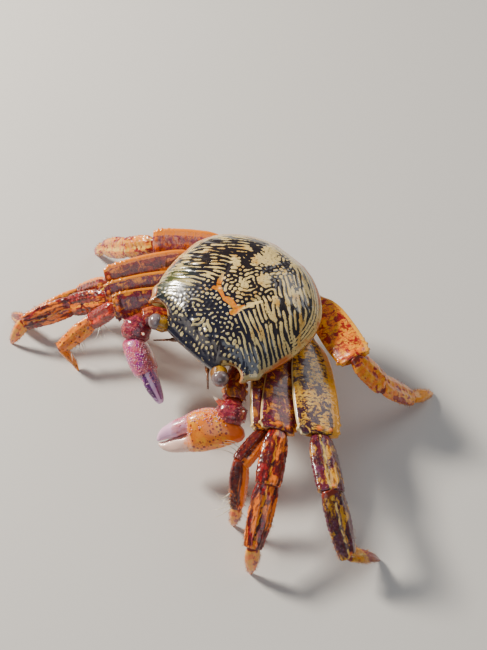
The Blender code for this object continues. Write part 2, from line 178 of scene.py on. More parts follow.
def eased(knots: Sequence[float], values: Sequence[float], at: Array) -> Array:
    """Smooth curve through knots that never overshoots them.

    Args:
        knots: Rising positions.
        values: Value at each knot.
        at: Positions to read.

    Returns:
        The value at each position.
    """
    x, y = np.asarray(knots, float), np.asarray(values, float)
    gap = np.diff(x)
    slope = np.diff(y) / gap
    tangent = np.zeros_like(y)
    tangent[0], tangent[-1] = slope[0], slope[-1]
    for k in range(1, len(x) - 1):
        if slope[k - 1] * slope[k] > 0.0:
            a, b = 2.0 * gap[k] + gap[k - 1], gap[k] + 2.0 * gap[k - 1]
            tangent[k] = (a + b) / (a / slope[k - 1] + b / slope[k])
    k = np.clip(np.searchsorted(x, at, side="right") - 1, 0, len(x) - 2)
    h, t = gap[k], (np.asarray(at, float) - x[k]) / gap[k]
    return ((2 * t ** 3 - 3 * t ** 2 + 1) * y[k] + (t ** 3 - 2 * t ** 2 + t) * h * tangent[k]
            + (3 * t ** 2 - 2 * t ** 3) * y[k + 1] + (t ** 3 - t ** 2) * h * tangent[k + 1])


class Ripple:
    """Smooth, repeatable unevenness made of plane waves in random directions."""

    def __init__(self, seed: int, size: float, waves: int = 14) -> None:
        """Draws the waves.

        Args:
            seed: Seed of the directions.
            size: Typical length of a wave.
            waves: How many waves are summed.
        """
        rng = np.random.default_rng(seed)
        way = rng.normal(size=(waves, 3))
        way /= np.linalg.norm(way, axis=1, keepdims=True)
        self.waves = (way * (2.0 * math.pi / (size * rng.uniform(0.6, 1.7, (waves, 1))))).T
        self.phase = rng.uniform(0.0, 2.0 * math.pi, waves)
        self.gain = 1.6 / math.sqrt(waves)

    def __call__(self, points: Array) -> Array:
        """Height at each point, mostly between -1 and 1."""
        return np.sin(points @ self.waves + self.phase).sum(axis=-1) * self.gain


def body_matrix() -> Matrix:
    """Body frame, in fractions of the carapace width, to the standing frame."""
    tilt = (Matrix.Rotation(math.radians(BODY_PITCH), 4, "X")
            @ Matrix.Rotation(math.radians(BODY_ROLL), 4, "Y"))
    return (Matrix.Translation((0.0, 0.0, BODY_HEIGHT)) @ tilt
            @ Matrix.Diagonal((CARAPACE_WIDTH,) * 3 + (1.0,)))


def standing(to_world: Matrix, body: Array) -> Array:
    """Body-frame points in the standing frame."""
    return body @ np.array(to_world.to_3x3()).T + np.array(to_world.translation)


def heading(side: Side, turn: float, lift: float) -> Vector:
    """Unit vector for a heading from straight out sideways and a lift above level, degrees."""
    a, e = math.radians(turn), math.radians(lift)
    return Vector((side.sign * math.cos(a) * math.cos(e), math.sin(a) * math.cos(e), math.sin(e)))


# ---- meshes -------------------------------------------------------------------------------------
@dataclass
class Skin:
    """Closed surface through rings, with the values that its finish reads at each point."""

    points: Array
    channels: dict[str, Array] = field(default_factory=dict)

    def normals(self) -> Array:
        """Outward unit normals."""
        along = np.gradient(self.points, axis=0)
        around = np.roll(self.points, -1, axis=1) - np.roll(self.points, 1, axis=1)
        normal = np.cross(around, along)
        normal /= np.linalg.norm(normal, axis=2, keepdims=True) + 1e-12
        return normal * self.outward(normal)

    def outward(self, normal: Array) -> float:
        """+1 where these normals point outwards as a whole, or -1."""
        centre = self.points.mean(axis=1, keepdims=True)
        return 1.0 if ((self.points - centre) * normal).sum() > 0.0 else -1.0

    def lift(self, height: Array) -> None:
        """Moves each point along its normal by a height in metres."""
        self.points = self.points + self.normals() * height[..., None]

    def build(self, name: str, material: Optional[bpy.types.Material] = None) -> bpy.types.Object:
        """Makes the mesh object.

        Args:
            name: Name of the object.
            material: Its finish, where it has one.

        Returns:
            The linked object, closed, smooth and with outward faces.
        """
        rows, columns = self.points.shape[:2]
        along = np.gradient(self.points, axis=0)
        around = np.roll(self.points, -1, axis=1) - np.roll(self.points, 1, axis=1)
        forward = self.outward(np.cross(around, along)) > 0.0
        flat = self.points.reshape(-1, 3)
        ends = np.stack([self.points[0].mean(axis=0), self.points[-1].mean(axis=0)])
        verts = np.concatenate([flat, ends])
        i, j = np.meshgrid(np.arange(rows - 1), np.arange(columns), indexing="ij")
        k = (j + 1) % columns
        quads = np.stack([i * columns + j, i * columns + k, (i + 1) * columns + k,
                          (i + 1) * columns + j], axis=-1).reshape(-1, 4)
        ring = np.arange(columns)
        after = (ring + 1) % columns
        last = (rows - 1) * columns
        caps = np.concatenate([
            np.stack([np.full(columns, rows * columns), after, ring], axis=-1),
            np.stack([np.full(columns, rows * columns + 1), last + ring, last + after], axis=-1)])
        if not forward:
            quads, caps = quads[:, ::-1], caps[:, ::-1]
        loops = np.concatenate([quads.ravel(), caps.ravel()])
        totals = np.concatenate([np.full(len(quads), 4), np.full(len(caps), 3)])
        mesh = bpy.data.meshes.new(name)
        mesh.vertices.add(len(verts))
        mesh.vertices.foreach_set("co", verts.ravel())
        mesh.loops.add(len(loops))
        mesh.loops.foreach_set("vertex_index", loops.astype(np.int32))
        mesh.polygons.add(len(totals))
        mesh.polygons.foreach_set("loop_start",
                                  np.concatenate([[0], np.cumsum(totals)[:-1]]).astype(np.int32))
        mesh.polygons.foreach_set("loop_total", totals.astype(np.int32))
        mesh.polygons.foreach_set("use_smooth", np.ones(len(totals), bool))
        for label, values in self.channels.items():
            wide = values.ndim == 3
            kept = values.reshape(-1, 3) if wide else values.reshape(-1)
            both = np.stack([values[0].mean(axis=0), values[-1].mean(axis=0)])
            layer = mesh.attributes.new(label, "FLOAT_VECTOR" if wide else "FLOAT", "POINT")
            layer.data.foreach_set("vector" if wide else "value",
                                   np.concatenate([kept, both]).astype(np.float32).ravel())
        mesh.update(calc_edges=True)
        mesh.validate()
        if material is not None:
            mesh.materials.append(material)
        return linked(name, mesh)


def linked(name: str, data: object) -> bpy.types.Object:
    """New object in the scene, made of a mesh, a lamp or a camera."""
    obj = bpy.data.objects.new(name, data)
    bpy.context.scene.collection.objects.link(obj)
    return obj


def placed(piece: bpy.types.Object, slot: str, *nodes: str) -> None:
    """Hands a finished piece to the frame.

    Args:
        piece: The finished object.
        slot: Not used.
        nodes: CAD nodes that it stands for.
    """
    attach(piece, "root")
    if nodes:
        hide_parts(*nodes)
    LOG.info("%s: %d faces", piece.name, len(piece.data.polygons))


def plain_mesh(source: bpy.types.Object, name: str) -> bpy.types.Object:
    """Turns an object with live modifiers into a plain mesh under a new name.

    Args:
        source: Object whose modifiers are evaluated; it is removed.
        name: Name of the result.

    Returns:
        The plain object.
    """
    graph = bpy.context.evaluated_depsgraph_get()
    mesh = bpy.data.meshes.new_from_object(source.evaluated_get(graph))
    bpy.data.objects.remove(source)
    mesh.name = name
    return linked(name, mesh)


# ---- shader helpers -----------------------------------------------------------------------------
def tone(red: int, green: int, blue: int, depth: float = 1.42) -> tuple[float, float, float, float]:
    """Linear colour from a display colour of 0 to 255 a channel.

    Args:
        red: Red.
        green: Green.
        blue: Blue.
        depth: How far the colour is moved away from grey of the same lightness.

    Returns:
        Linear red, green, blue and alpha.
    """
    def linear(c: float) -> float:
        """One display channel made linear."""
        return c / 12.92 if c <= 0.04045 else ((c + 0.055) / 1.055) ** 2.4

    rgb = [linear(c / 255) for c in (red, green, blue)]
    grey = 0.25 * rgb[0] + 0.60 * rgb[1] + 0.15 * rgb[2]
    r, g, b = (min(0.95, max(0.002, 0.94 * (grey + (c - grey) * depth))) for c in rgb)
    return r, g, b, 1.0


class Nodes:
    """Adds nodes to one tree in a few words."""

    def __init__(self, tree: bpy.types.NodeTree) -> None:
        """Keeps the tree that is being filled."""
        self.tree = tree

    def add(self, kind: str, values: Optional[dict] = None, **settings: object) -> bpy.types.Node:
        """Adds a node.

        Args:
            kind: Type name of the node.
            values: Input index or name, and the socket or plain value that goes in.
            settings: Properties of the node.

        Returns:
            The node.
        """
        node = self.tree.nodes.new(kind)
        for key, value in settings.items():
            setattr(node, key, value)
        for key, value in (values or {}).items():
            self.put(node.inputs[key], value)
        return node

    def put(self, target: bpy.types.NodeSocket, value: object) -> None:
        """Links a socket to an input, or sets a plain value on it."""
        if isinstance(value, bpy.types.NodeSocket):
            self.tree.links.new(value, target)
        else:
            target.default_value = value

    def maths(self, operation: str, a: Value, b: Value = 0.0, clamp: bool = False) -> bpy.types.NodeSocket:
        """Result of one Math node."""
        return self.add("ShaderNodeMath", {0: a, 1: b}, operation=operation, use_clamp=clamp).outputs[0]

    def times(self, a: Value, b: Value) -> bpy.types.NodeSocket:
        """Product of two values."""
        return self.maths("MULTIPLY", a, b)

    def plus(self, a: Value, b: Value) -> bpy.types.NodeSocket:
        """Sum of two values."""
        return self.maths("ADD", a, b)

    def minus(self, a: Value, b: Value) -> bpy.types.NodeSocket:
        """First value less the second."""
        return self.maths("SUBTRACT", a, b)

    def swing(self, noise: Value, gain: Value) -> bpy.types.NodeSocket:
        """Noise moved from round a half to round nothing, and scaled."""
        return self.times(self.minus(noise, 0.5), gain)

    def layer(self, mask: Value, share: Value, colour: object, paint: object) -> bpy.types.NodeSocket:
        """Colour with a paint over it where a mask is, at a share of full strength."""
        return self.mix(self.times(mask, share), colour, paint)

    def named(self, label: str, kind: str) -> bpy.types.NodeSocket:
        """Attribute of the geometry, in a geometry tree."""
        return self.add("GeometryNodeInputNamedAttribute", {"Name": label}, data_type=kind).outputs[0]

    def span(self, value: Value, low: Value, high: Value) -> bpy.types.NodeSocket:
        """Smooth 0 to 1 as a value goes from low to high."""
        return self.add("ShaderNodeMapRange", {0: value, 1: low, 2: high},
                        interpolation_type="SMOOTHSTEP").outputs[0]

    def mix(self, factor: Value, a: object, b: object) -> bpy.types.NodeSocket:
        """Colour a turned into colour b by a factor."""
        return self.add("ShaderNodeMix", {0: factor, 6: a, 7: b}, data_type="RGBA").outputs[2]

    def noise(self, where: Value, scale: Value, detail: float = 3.0, **more: float) -> bpy.types.NodeSocket:
        """Noise value at a place; more inputs of the node go by name."""
        return self.add("ShaderNodeTexNoise", {"Vector": where, "Scale": scale, "Detail": detail,
                                               **more}).outputs["Fac"]

    def stretch(self, where: Value, scale: Sequence[float],
                shift: Sequence[float] = (0, 0, 0)) -> bpy.types.NodeSocket:
        """Place scaled and shifted by a Mapping node."""
        return self.add("ShaderNodeMapping", {"Vector": where, "Scale": scale, "Location": shift}).outputs[0]

    def channel(self, name: str, output: str = "Fac") -> bpy.types.NodeSocket:
        """Value or vector that the mesh carries under a name."""
        return self.add("ShaderNodeAttribute", attribute_name=name).outputs[output]

    def place(self) -> bpy.types.NodeSocket:
        """Object coordinates."""
        return self.add("ShaderNodeTexCoord").outputs["Object"]

    def group(self, name: str, values: dict) -> bpy.types.Node:
        """A shared node group with its inputs set."""
        node = self.tree.nodes.new("ShaderNodeGroup")
        node.node_tree = bpy.data.node_groups[name]
        for key, value in values.items():
            self.put(node.inputs[key], value)
        return node


def new_group(name: str, inputs: dict[str, tuple[str, object]],
              outputs: dict[str, str]) -> tuple[Nodes, bpy.types.Node, bpy.types.Node]:
    """Starts a shader node group.

    Args:
        name: Name of the group.
        inputs: Socket type and default by input name.
        outputs: Socket type by output name.

    Returns:
        The helper for its tree, its input node and its output node.
    """
    tree = bpy.data.node_groups.new(name, "ShaderNodeTree")
    for label, (kind, default) in inputs.items():
        socket = tree.interface.new_socket(label, in_out="INPUT", socket_type="NodeSocket" + kind)
        if default is not None:
            socket.default_value = default
    for label, kind in outputs.items():
        tree.interface.new_socket(label, in_out="OUTPUT", socket_type="NodeSocket" + kind)
    return Nodes(tree), tree.nodes.new("NodeGroupInput"), tree.nodes.new("NodeGroupOutput")


class SharedEffects:
    """Shader node groups that several finishes use."""

    GLOSS, BLOTCH, DOTS, STREAKS = "shell_gloss", "blotches", "dots", "streaks"

    def build(self) -> None:
        """Makes every group once."""
        self.gloss()
        self.blotches()
        self.dots()
        self.streaks()

    def gloss(self) -> None:
        """Fine pores and wrinkles of wet shell: roughness and height."""
        n, start, end = new_group(self.GLOSS, {"Place": ("Vector", None), "Grain": ("Float", 900.0),
                                               "Shine": ("Float", 0.25)},
                                  {"Roughness": "Float", "Height": "Float"})
        place, scale = start.outputs["Place"], start.outputs["Grain"]
        fine = n.noise(place, scale, 4.0)
        pores = n.add("ShaderNodeTexVoronoi", {"Vector": place,
                                               "Scale": n.times(scale, 1.7)})
        broad = n.noise(place, n.times(scale, 0.16), 2.0)
        pit = n.span(pores.outputs["Distance"], 0.0, 0.35)
        height = n.plus(n.times(fine, 0.55), n.times(pit, 0.45))
        rough = n.plus(n.times(broad, 0.26), n.times(fine, 0.12))
        n.put(end.inputs["Roughness"], n.maths("ADD", rough, n.minus(start.outputs["Shine"], 0.14), True))
        n.put(end.inputs["Height"], height)

    def blotches(self) -> None:
        """Irregular patches: a mask with fairly crisp edges."""
        n, start, end = new_group(self.BLOTCH, {"Place": ("Vector", None), "Scale": ("Float", 1.0),
                                                "Cover": ("Float", 0.5), "Edge": ("Float", 0.05)},
                                  {"Mask": "Float"})
        cloud = n.noise(start.outputs["Place"], start.outputs["Scale"], 4.0, Roughness=0.55, Distortion=0.6)
        level = n.minus(0.72, n.times(start.outputs["Cover"], 0.44))
        edge = start.outputs["Edge"]
        n.put(end.inputs["Mask"], n.span(cloud, n.minus(level, edge), n.plus(level, edge)))

    def dots(self) -> None:
        """Scattered round spots of uneven size."""
        n, start, end = new_group(self.DOTS, {"Place": ("Vector", None), "Scale": ("Float", 1.0),
                                              "Size": ("Float", 0.3)}, {"Mask": "Float"})
        cells = n.add("ShaderNodeTexVoronoi",
                      {"Vector": start.outputs["Place"], "Scale": start.outputs["Scale"]})
        chance = n.add("ShaderNodeSeparateColor", {0: cells.outputs["Color"]}).outputs[0]
        reach = n.times(start.outputs["Size"], n.plus(n.times(chance, 1.1), 0.15))
        inside = n.minus(reach, cells.outputs["Distance"])
        n.put(end.inputs["Mask"], n.span(inside, -0.03, 0.05))

    def streaks(self) -> None:
        """Wavering stripes that run along a limb."""
        n, start, end = new_group(self.STREAKS, {"Place": ("Vector", None), "Across": ("Float", 0.0),
                                                 "Count": ("Float", 3.0), "Waver": ("Float", 0.5),
                                                 "Width": ("Float", 0.5)}, {"Mask": "Float"})
        drift = n.swing(n.noise(start.outputs["Place"], 0.35, 4.0, Roughness=0.6), start.outputs["Waver"])
        at = n.times(n.plus(start.outputs["Across"], drift), start.outputs["Count"])
        wave = n.maths("SINE", n.times(at, math.pi))
        level = n.minus(n.times(start.outputs["Width"], -2.0), -1.0)
        n.put(end.inputs["Mask"], n.span(n.minus(wave, level), -0.22, 0.22))


@dataclass(frozen=True)
class Sheen:
    """Surface values that are the same all over one shell finish."""

    shine: float = 0.25
    coat: float = 0.55
    coat_roughness: float = 0.09
    bump: float = 0.35
    grain: float = 900.0

    def close(self, n: Nodes, colour: object, height: Optional[bpy.types.NodeSocket] = None) -> None:
        """Ends a material with its shader.

        Args:
            n: Helper of the material's tree.
            colour: Colour over the surface.
            height: Further height, 0 to 1, for the bump.
        """
        gloss = n.group(SharedEffects.GLOSS, {"Place": n.place(), "Grain": self.grain, "Shine": self.shine})
        relief = gloss.outputs["Height"]
        if height is not None:
            relief = n.plus(n.times(relief, 0.4), height)
        bump = n.add("ShaderNodeBump", {"Height": relief, "Strength": self.bump, "Distance": BUMP_DEPTH})
        shader = n.add("ShaderNodeBsdfPrincipled", {
            "Base Color": colour, "Roughness": gloss.outputs["Roughness"], "Normal": bump.outputs[0],
            "Coat Weight": self.coat, "Coat Roughness": self.coat_roughness, "IOR": SHELL_IOR})
        n.add("ShaderNodeOutputMaterial", {"Surface": shader.outputs[0]})


def new_material(name: str) -> tuple[bpy.types.Material, Nodes]:
    """An empty node material and the helper for its tree."""
    material = bpy.data.materials.new(name)
    material.use_nodes = True
    material.node_tree.nodes.clear()
    return material, Nodes(material.node_tree)


@dataclass(frozen=True)
class BackFinish:
    """Navy shell of the back with its cream figure, orange mark and pale rim."""

    navy: tuple = tone(14, 17, 36)
    plum: tuple = tone(24, 13, 14)
    cream: tuple = tone(230, 208, 160)
    ochre: tuple = tone(198, 150, 84)
    grey: tuple = tone(150, 150, 128)
    orange: tuple = tone(224, 140, 40)
    belly: tuple = tone(222, 176, 122)
    moss: tuple = tone(92, 98, 38)
    rust: tuple = tone(184, 110, 44)
    # Dark brown of the orbit pockets: partly their own brown, partly painted shade.
    socket_shade: tuple = tone(58, 34, 16)
    sheen: Sheen = Sheen(shine=0.20, coat=0.9, coat_roughness=0.06, bump=0.28, grain=700.0)

    def build(self) -> bpy.types.Material:
        """Makes the material; it reads cream, mark, orange, rim, front, socket, moss and belly."""
        material, n = new_material("carapace_shell")
        where = n.place()
        grain = n.noise(where, 1500.0, 2.0)
        figure = n.plus(n.channel("cream"), n.swing(grain, 0.7))
        mask = n.span(figure, -0.06, 0.18)
        front = n.channel("front")
        dark = n.layer(n.span(n.noise(where, 160.0), 0.3, 0.7), 0.6, self.navy, self.plum)
        dark = n.mix(n.span(front, 0.5, 0.0), dark, self.plum)
        warm = n.maths("MAXIMUM", n.times(n.span(n.noise(where, 240.0), 0.50, 0.72), 0.75),
                       n.times(n.channel("rim"), 0.35))
        pale = n.mix(n.times(front, 0.55), n.mix(warm, self.cream, self.ochre), self.grey)
        fleck = n.group(SharedEffects.DOTS, {"Place": where, "Scale": 1500.0, "Size": 0.30}).outputs[0]
        pale = n.layer(fleck, 0.75, pale, self.plum)
        colour = n.mix(mask, dark, pale)
        colour = n.layer(n.channel("moss"), 0.55, colour, self.moss)
        mark = n.span(n.plus(n.channel("mark"), n.times(grain, 0.25)), 0.48, 0.66)
        hue = n.mix(n.channel("orange"), self.cream, n.mix(n.span(grain, 0.35, 0.7), self.orange, self.ochre))
        colour = n.mix(mark, colour, hue)
        colour = n.layer(n.span(n.channel("rim"), 0.72, 1.0), n.span(n.noise(where, 200.0), 0.4, 0.6), colour,
                         self.rust)
        spots = n.group(SharedEffects.BLOTCH, {"Place": where, "Scale": 420.0, "Cover": 0.35})
        under = n.layer(spots.outputs[0], 0.5, self.belly, self.orange)
        colour = n.mix(n.channel("belly"), colour, under)
        # The orbit pockets take the dark brown and moss: partly their own colour, partly painted shade.
        colour = n.mix(n.span(n.channel("socket"), 0.1, 0.5), colour, n.mix(grain, self.socket_shade, self.moss))
        self.sheen.close(n, colour, n.times(mask, 0.5))
        return material


@dataclass(frozen=True)
class LimbFinish:
    """Painted shell of a limb plate; it reads skin, front, top, along and knob from the mesh."""

    name: str
    ground: tuple
    patch: tuple
    stripe: tuple
    second: Optional[tuple] = None
    pale: tuple = tone(228, 190, 122)
    knob: tuple = tone(230, 134, 40)
    neck: tuple = tone(120, 52, 34)
    edge: tuple = tone(236, 210, 160)
    rear: tuple = tone(206, 138, 56)
    belly: tuple = tone(222, 150, 80)
    patch_cover: float = 0.45
    patch_scale: float = 0.45
    patch_stretch: float = 1.0
    stripe_count: float = 3.0
    stripe_width: float = 0.4
    stripe_share: float = 0.6
    bars: float = 0.0
    net: float = 0.0
    pale_at: float = 0.15
    pale_width: float = 0.0
    edge_width: float = 0.0
    rear_width: float = 0.0
    rear_wear: float = 0.35
    dot_share: float = 0.0
    dot: tuple = tone(120, 30, 20)
    speck: float = 0.30
    tip: Optional[tuple] = None
    tip_start: float = 0.8
    tip_soft: float = 0.05
    under: float = 0.40
    seed: float = 0.0
    sheen: Sheen = Sheen()

    def build(self) -> bpy.types.Material:
        """Makes the material."""
        material, n = new_material(self.name)
        raw, front = n.channel("skin", "Vector"), n.channel("front")
        top, along = n.channel("top"), n.channel("along")
        skin = n.stretch(raw, (1.0, 1.0, 1.0), (self.seed, 2.0 * self.seed, 0.0))
        ground = n.mix(n.span(n.noise(skin, 0.55, 3.0), 0.42, 0.58), self.ground, self.second or self.ground)
        colour = self.marks(n, skin, front, ground)
        colour = self.lines(n, skin, front, top, colour)
        freckle = n.group(SharedEffects.DOTS, {"Place": skin, "Scale": 2.3, "Size": 0.27}).outputs[0]
        colour = n.layer(freckle, self.speck, colour, self.pale)
        colour = n.layer(n.span(top, -0.25, -0.7), self.under, colour, self.belly)
        colour = n.mix(n.channel("knob"), colour, self.knob)
        if self.tip is not None:
            edge = n.plus(along, n.swing(n.noise(skin, 0.7), 0.3))
            colour = n.mix(n.span(edge, self.tip_start - self.tip_soft, self.tip_start + self.tip_soft),
                           colour, self.tip)
        colour = n.mix(n.span(along, 0.02, 0.0), colour, self.neck)
        self.sheen.close(n, colour)
        return material

    def marks(self, n: Nodes, skin: Value, front: Value, ground: Value) -> bpy.types.NodeSocket:
        """Patches, cross marks, a fine net and streaks over the ground.

        Args:
            n: Helper of the material's tree.
            skin: Place on the plate in millimetres.
            front: Place across the plate, -1 rear to 1 front.
            ground: Colour under the marks.

        Returns:
            Colour with the marks.
        """
        stretched = n.stretch(skin, (1.0 / self.patch_stretch, 1.0, 1.0), (7.3, 1.7, 3.1))
        patch = n.group(SharedEffects.BLOTCH, {"Place": stretched, "Scale": self.patch_scale,
                                               "Cover": self.patch_cover, "Edge": 0.022}).outputs[0]
        colour = n.mix(patch, ground, self.patch)
        if self.net:
            mesh = n.add("ShaderNodeTexVoronoi", {"Vector": n.stretch(skin, (1.4, 0.8, 0.8)), "Scale": 1.25},
                         feature="DISTANCE_TO_EDGE").outputs["Distance"]
            gate = n.span(n.noise(skin, 0.4, 2.0), 0.44, 0.54)
            colour = n.layer(n.times(n.span(mesh, 0.12, 0.05), gate), self.net, colour, self.stripe)
        streak = n.group(SharedEffects.STREAKS, {"Place": skin, "Across": front, "Count": self.stripe_count,
                                                 "Waver": 0.9, "Width": self.stripe_width}).outputs[0]
        broken = n.span(n.noise(n.stretch(skin, (0.5, 1.0, 1.0)), 0.8, 3.0), 0.34, 0.50)
        colour = n.layer(n.times(streak, broken), self.stripe_share, colour, self.stripe)
        if self.bars:
            bent = n.plus(n.add("ShaderNodeSeparateXYZ", {0: skin}).outputs[0],
                          n.times(n.noise(skin, 0.45, 3.0), 3.2))
            bar = n.span(n.maths("SINE", n.times(bent, 4.8)), 0.05, 0.40)
            gate = n.span(n.noise(n.stretch(skin, (1.0, 1.0, 1.0), (3.0, 9.0, 1.0)), 0.75, 2.0), 0.45, 0.53)
            colour = n.layer(n.times(bar, gate), self.bars, colour, self.stripe)
        return colour

    def lines(self, n: Nodes, skin: Value, front: Value, top: Value, colour: Value) -> bpy.types.NodeSocket:
        """Pale long line, round dots, and the plain strips along the rear and front edges.

        Args:
            n: Helper of the material's tree.
            skin: Place on the plate in millimetres.
            front: Place across the plate, -1 rear to 1 front.
            top: Place through the plate, -1 under to 1 above.
            colour: Colour under the lines.

        Returns:
            Colour with the lines.
        """
        if self.pale_width:
            off = n.maths("ABSOLUTE", n.minus(n.plus(front, n.swing(n.noise(skin, 0.4, 3.0), 0.5)),
                                              self.pale_at))
            line = n.span(off, self.pale_width, self.pale_width * 0.55)
            colour = n.layer(line, n.span(n.noise(skin, 0.55, 2.0), 0.40, 0.5), colour, self.pale)
        if self.dot_share:
            dots = n.group(SharedEffects.DOTS, {"Place": skin, "Scale": 0.95, "Size": 0.36}).outputs[0]
            colour = n.layer(dots, self.dot_share, colour, self.dot)
        if self.rear_width:
            ragged = n.plus(front, n.swing(n.noise(skin, 0.9), 0.16))
            rear = n.span(ragged, -1.0 + self.rear_width, -1.0 + self.rear_width * 0.85)
            worn = n.group(SharedEffects.BLOTCH,
                           {"Place": skin, "Scale": 0.6, "Cover": 0.30, "Edge": 0.03}).outputs[0]
            strip = n.layer(worn, self.rear_wear, self.rear, self.patch)
            colour = n.mix(rear, colour, strip)
        if self.edge_width:
            brink = n.times(n.span(front, 0.975 - self.edge_width * 0.6, 0.99 - self.edge_width * 0.5),
                            n.span(n.maths("ABSOLUTE", top), 0.34, 0.16))
            colour = n.mix(brink, colour, self.edge)
        return colour


# ---- repeated things ----------------------------------------------------------------------------
class FieldTrees:
    """Geometry node trees that set bristles on points and grains on a surface."""

    BRISTLES, GRAINS = "bristle_field", "grain_field"

    def build(self) -> None:
        """Makes both trees once."""
        self.bristles()
        self.grains()

    @staticmethod
    def start(name: str, inputs: dict[str, tuple[str, object]]) -> tuple[Nodes, bpy.types.Node]:
        """Starts a tree.

        Args:
            name: Name of the tree.
            inputs: Socket type and default by input name.

        Returns:
            The helper for the tree and its input node.
        """
        tree = bpy.data.node_groups.new(name, "GeometryNodeTree")
        tree.is_modifier = True
        tree.interface.new_socket("Geometry", in_out="INPUT", socket_type="NodeSocketGeometry")
        for label, (kind, default) in inputs.items():
            socket = tree.interface.new_socket(label, in_out="INPUT", socket_type="NodeSocket" + kind)
            if default is not None:
                socket.default_value = default
        tree.interface.new_socket("Geometry", in_out="OUTPUT", socket_type="NodeSocketGeometry")
        return Nodes(tree), tree.nodes.new("NodeGroupInput")

    @staticmethod
    def end(n: Nodes, start: bpy.types.Node, placed_copies: bpy.types.NodeSocket) -> None:
        """Ends a tree: copies made real, shaded smooth, with the material."""
        real = n.add("GeometryNodeRealizeInstances", {"Geometry": placed_copies})
        smooth = n.add("GeometryNodeSetShadeSmooth", {"Geometry": real.outputs[0], "Shade Smooth": True})
        done = n.add("GeometryNodeSetMaterial",
                     {"Geometry": smooth.outputs[0], "Material": start.outputs["Material"]})
        n.put(n.tree.nodes.new("NodeGroupOutput").inputs[0], done.outputs[0])

    def bristles(self) -> None:
        """One curved, tapering bristle on every point, along its aim and scaled by its size."""
        n, start = self.start(self.BRISTLES, {"Length": ("Float", 1.0 * MM), "Radius": ("Float", 0.05 * MM),
                                              "Bend": ("Float", 0.3), "Seed": ("Int", 1),
                                              "Material": ("Material", None)})
        length, bend = start.outputs["Length"], start.outputs["Bend"]
        middle = n.add("ShaderNodeCombineXYZ", {2: n.times(length, 0.55)}).outputs[0]
        tip = n.add("ShaderNodeCombineXYZ", {0: n.times(length, bend),
                                             2: n.times(length, 0.96)}).outputs[0]
        curve = n.add("GeometryNodeCurveQuadraticBezier", {"Resolution": 5, "Start": (0.0, 0.0, 0.0),
                                                           "Middle": middle, "End": tip})
        along = n.add("GeometryNodeSplineParameter").outputs["Factor"]
        taper = n.minus(1.0, n.times(along, 0.82))
        thick = n.times(start.outputs["Radius"], taper)
        ring = n.add("GeometryNodeCurvePrimitiveCircle", {"Resolution": 5, "Radius": 1.0})
        tube = n.add("GeometryNodeCurveToMesh", {"Curve": curve.outputs[0], "Profile Curve": ring.outputs[0],
                                                 "Scale": thick, "Fill Caps": True})
        aim = n.named("aim", "FLOAT_VECTOR")
        size = n.named("size", "FLOAT")
        turned = n.add("FunctionNodeAlignRotationToVector", {"Vector": aim}, axis="Z").outputs[0]
        angle = n.add("FunctionNodeRandomValue", {2: 0.0, 3: 2.0 * math.pi, "Seed": start.outputs["Seed"]},
                      data_type="FLOAT").outputs[1]
        spin = n.add("FunctionNodeAxisAngleToRotation", {"Axis": (0.0, 0.0, 1.0), "Angle": angle}).outputs[0]
        rotation = n.add("FunctionNodeRotateRotation", {0: turned, 1: spin},
                         rotation_space="LOCAL").outputs[0]
        copies = n.add("GeometryNodeInstanceOnPoints",
                       {"Points": start.outputs["Geometry"], "Instance": tube.outputs[0],
                        "Rotation": rotation, "Scale": size})
        self.end(n, start, copies.outputs[0])

    def grains(self) -> None:
        """Low round grains over a surface, as dense as its grain attribute says."""
        n, start = self.start(self.GRAINS, {"Radius": ("Float", 0.2 * MM), "Gap": ("Float", 0.4 * MM),
                                            "Density": ("Float", 4.0e6), "Seed": ("Int", 1),
                                            "Material": ("Material", None)})
        share = n.named("grain", "FLOAT")
        spread = n.add("GeometryNodeDistributePointsOnFaces",
                       {"Mesh": start.outputs["Geometry"], "Distance Min": start.outputs["Gap"],
                        "Density Max": start.outputs["Density"], "Density Factor": share,
                        "Seed": start.outputs["Seed"]}, distribute_method="POISSON")
        ball = n.add("GeometryNodeMeshUVSphere",
                     {"Segments": 8, "Rings": 5, "Radius": start.outputs["Radius"]})
        size = n.add("FunctionNodeRandomValue", {2: 0.55, 3: 1.25, "Seed": start.outputs["Seed"]},
                     data_type="FLOAT").outputs[1]
        scale = n.add("ShaderNodeCombineXYZ", {0: size, 1: size, 2: n.times(size, 0.75)}).outputs[0]
        copies = n.add("GeometryNodeInstanceOnPoints", {
            "Points": spread.outputs["Points"], "Instance": ball.outputs[0],
            "Rotation": spread.outputs["Rotation"], "Scale": scale})
        self.end(n, start, copies.outputs[0])

    @staticmethod
    def run(tree: str, source: bpy.types.Object, name: str, values: dict[str, object]) -> bpy.types.Object:
        """Runs a tree on an object and keeps the plain result.

        Args:
            tree: Name of the tree.
            source: Object that the tree works on; it is removed.
            name: Name of the result.
            values: Inputs of the tree by name.

        Returns:
            The plain object.
        """
        group = bpy.data.node_groups[tree]
        modifier = source.modifiers.new(tree, "NODES")
        modifier.node_group = group
        for item in group.interface.items_tree:
            if item.item_type == "SOCKET" and item.in_out == "INPUT" and item.name in values:
                modifier[item.identifier] = values[item.name]
        source.update_tag()
        bpy.context.view_layer.update()
        piece = plain_mesh(source, name)
        if not piece.data.materials:
            piece.data.materials.append(values["Material"])
        return piece


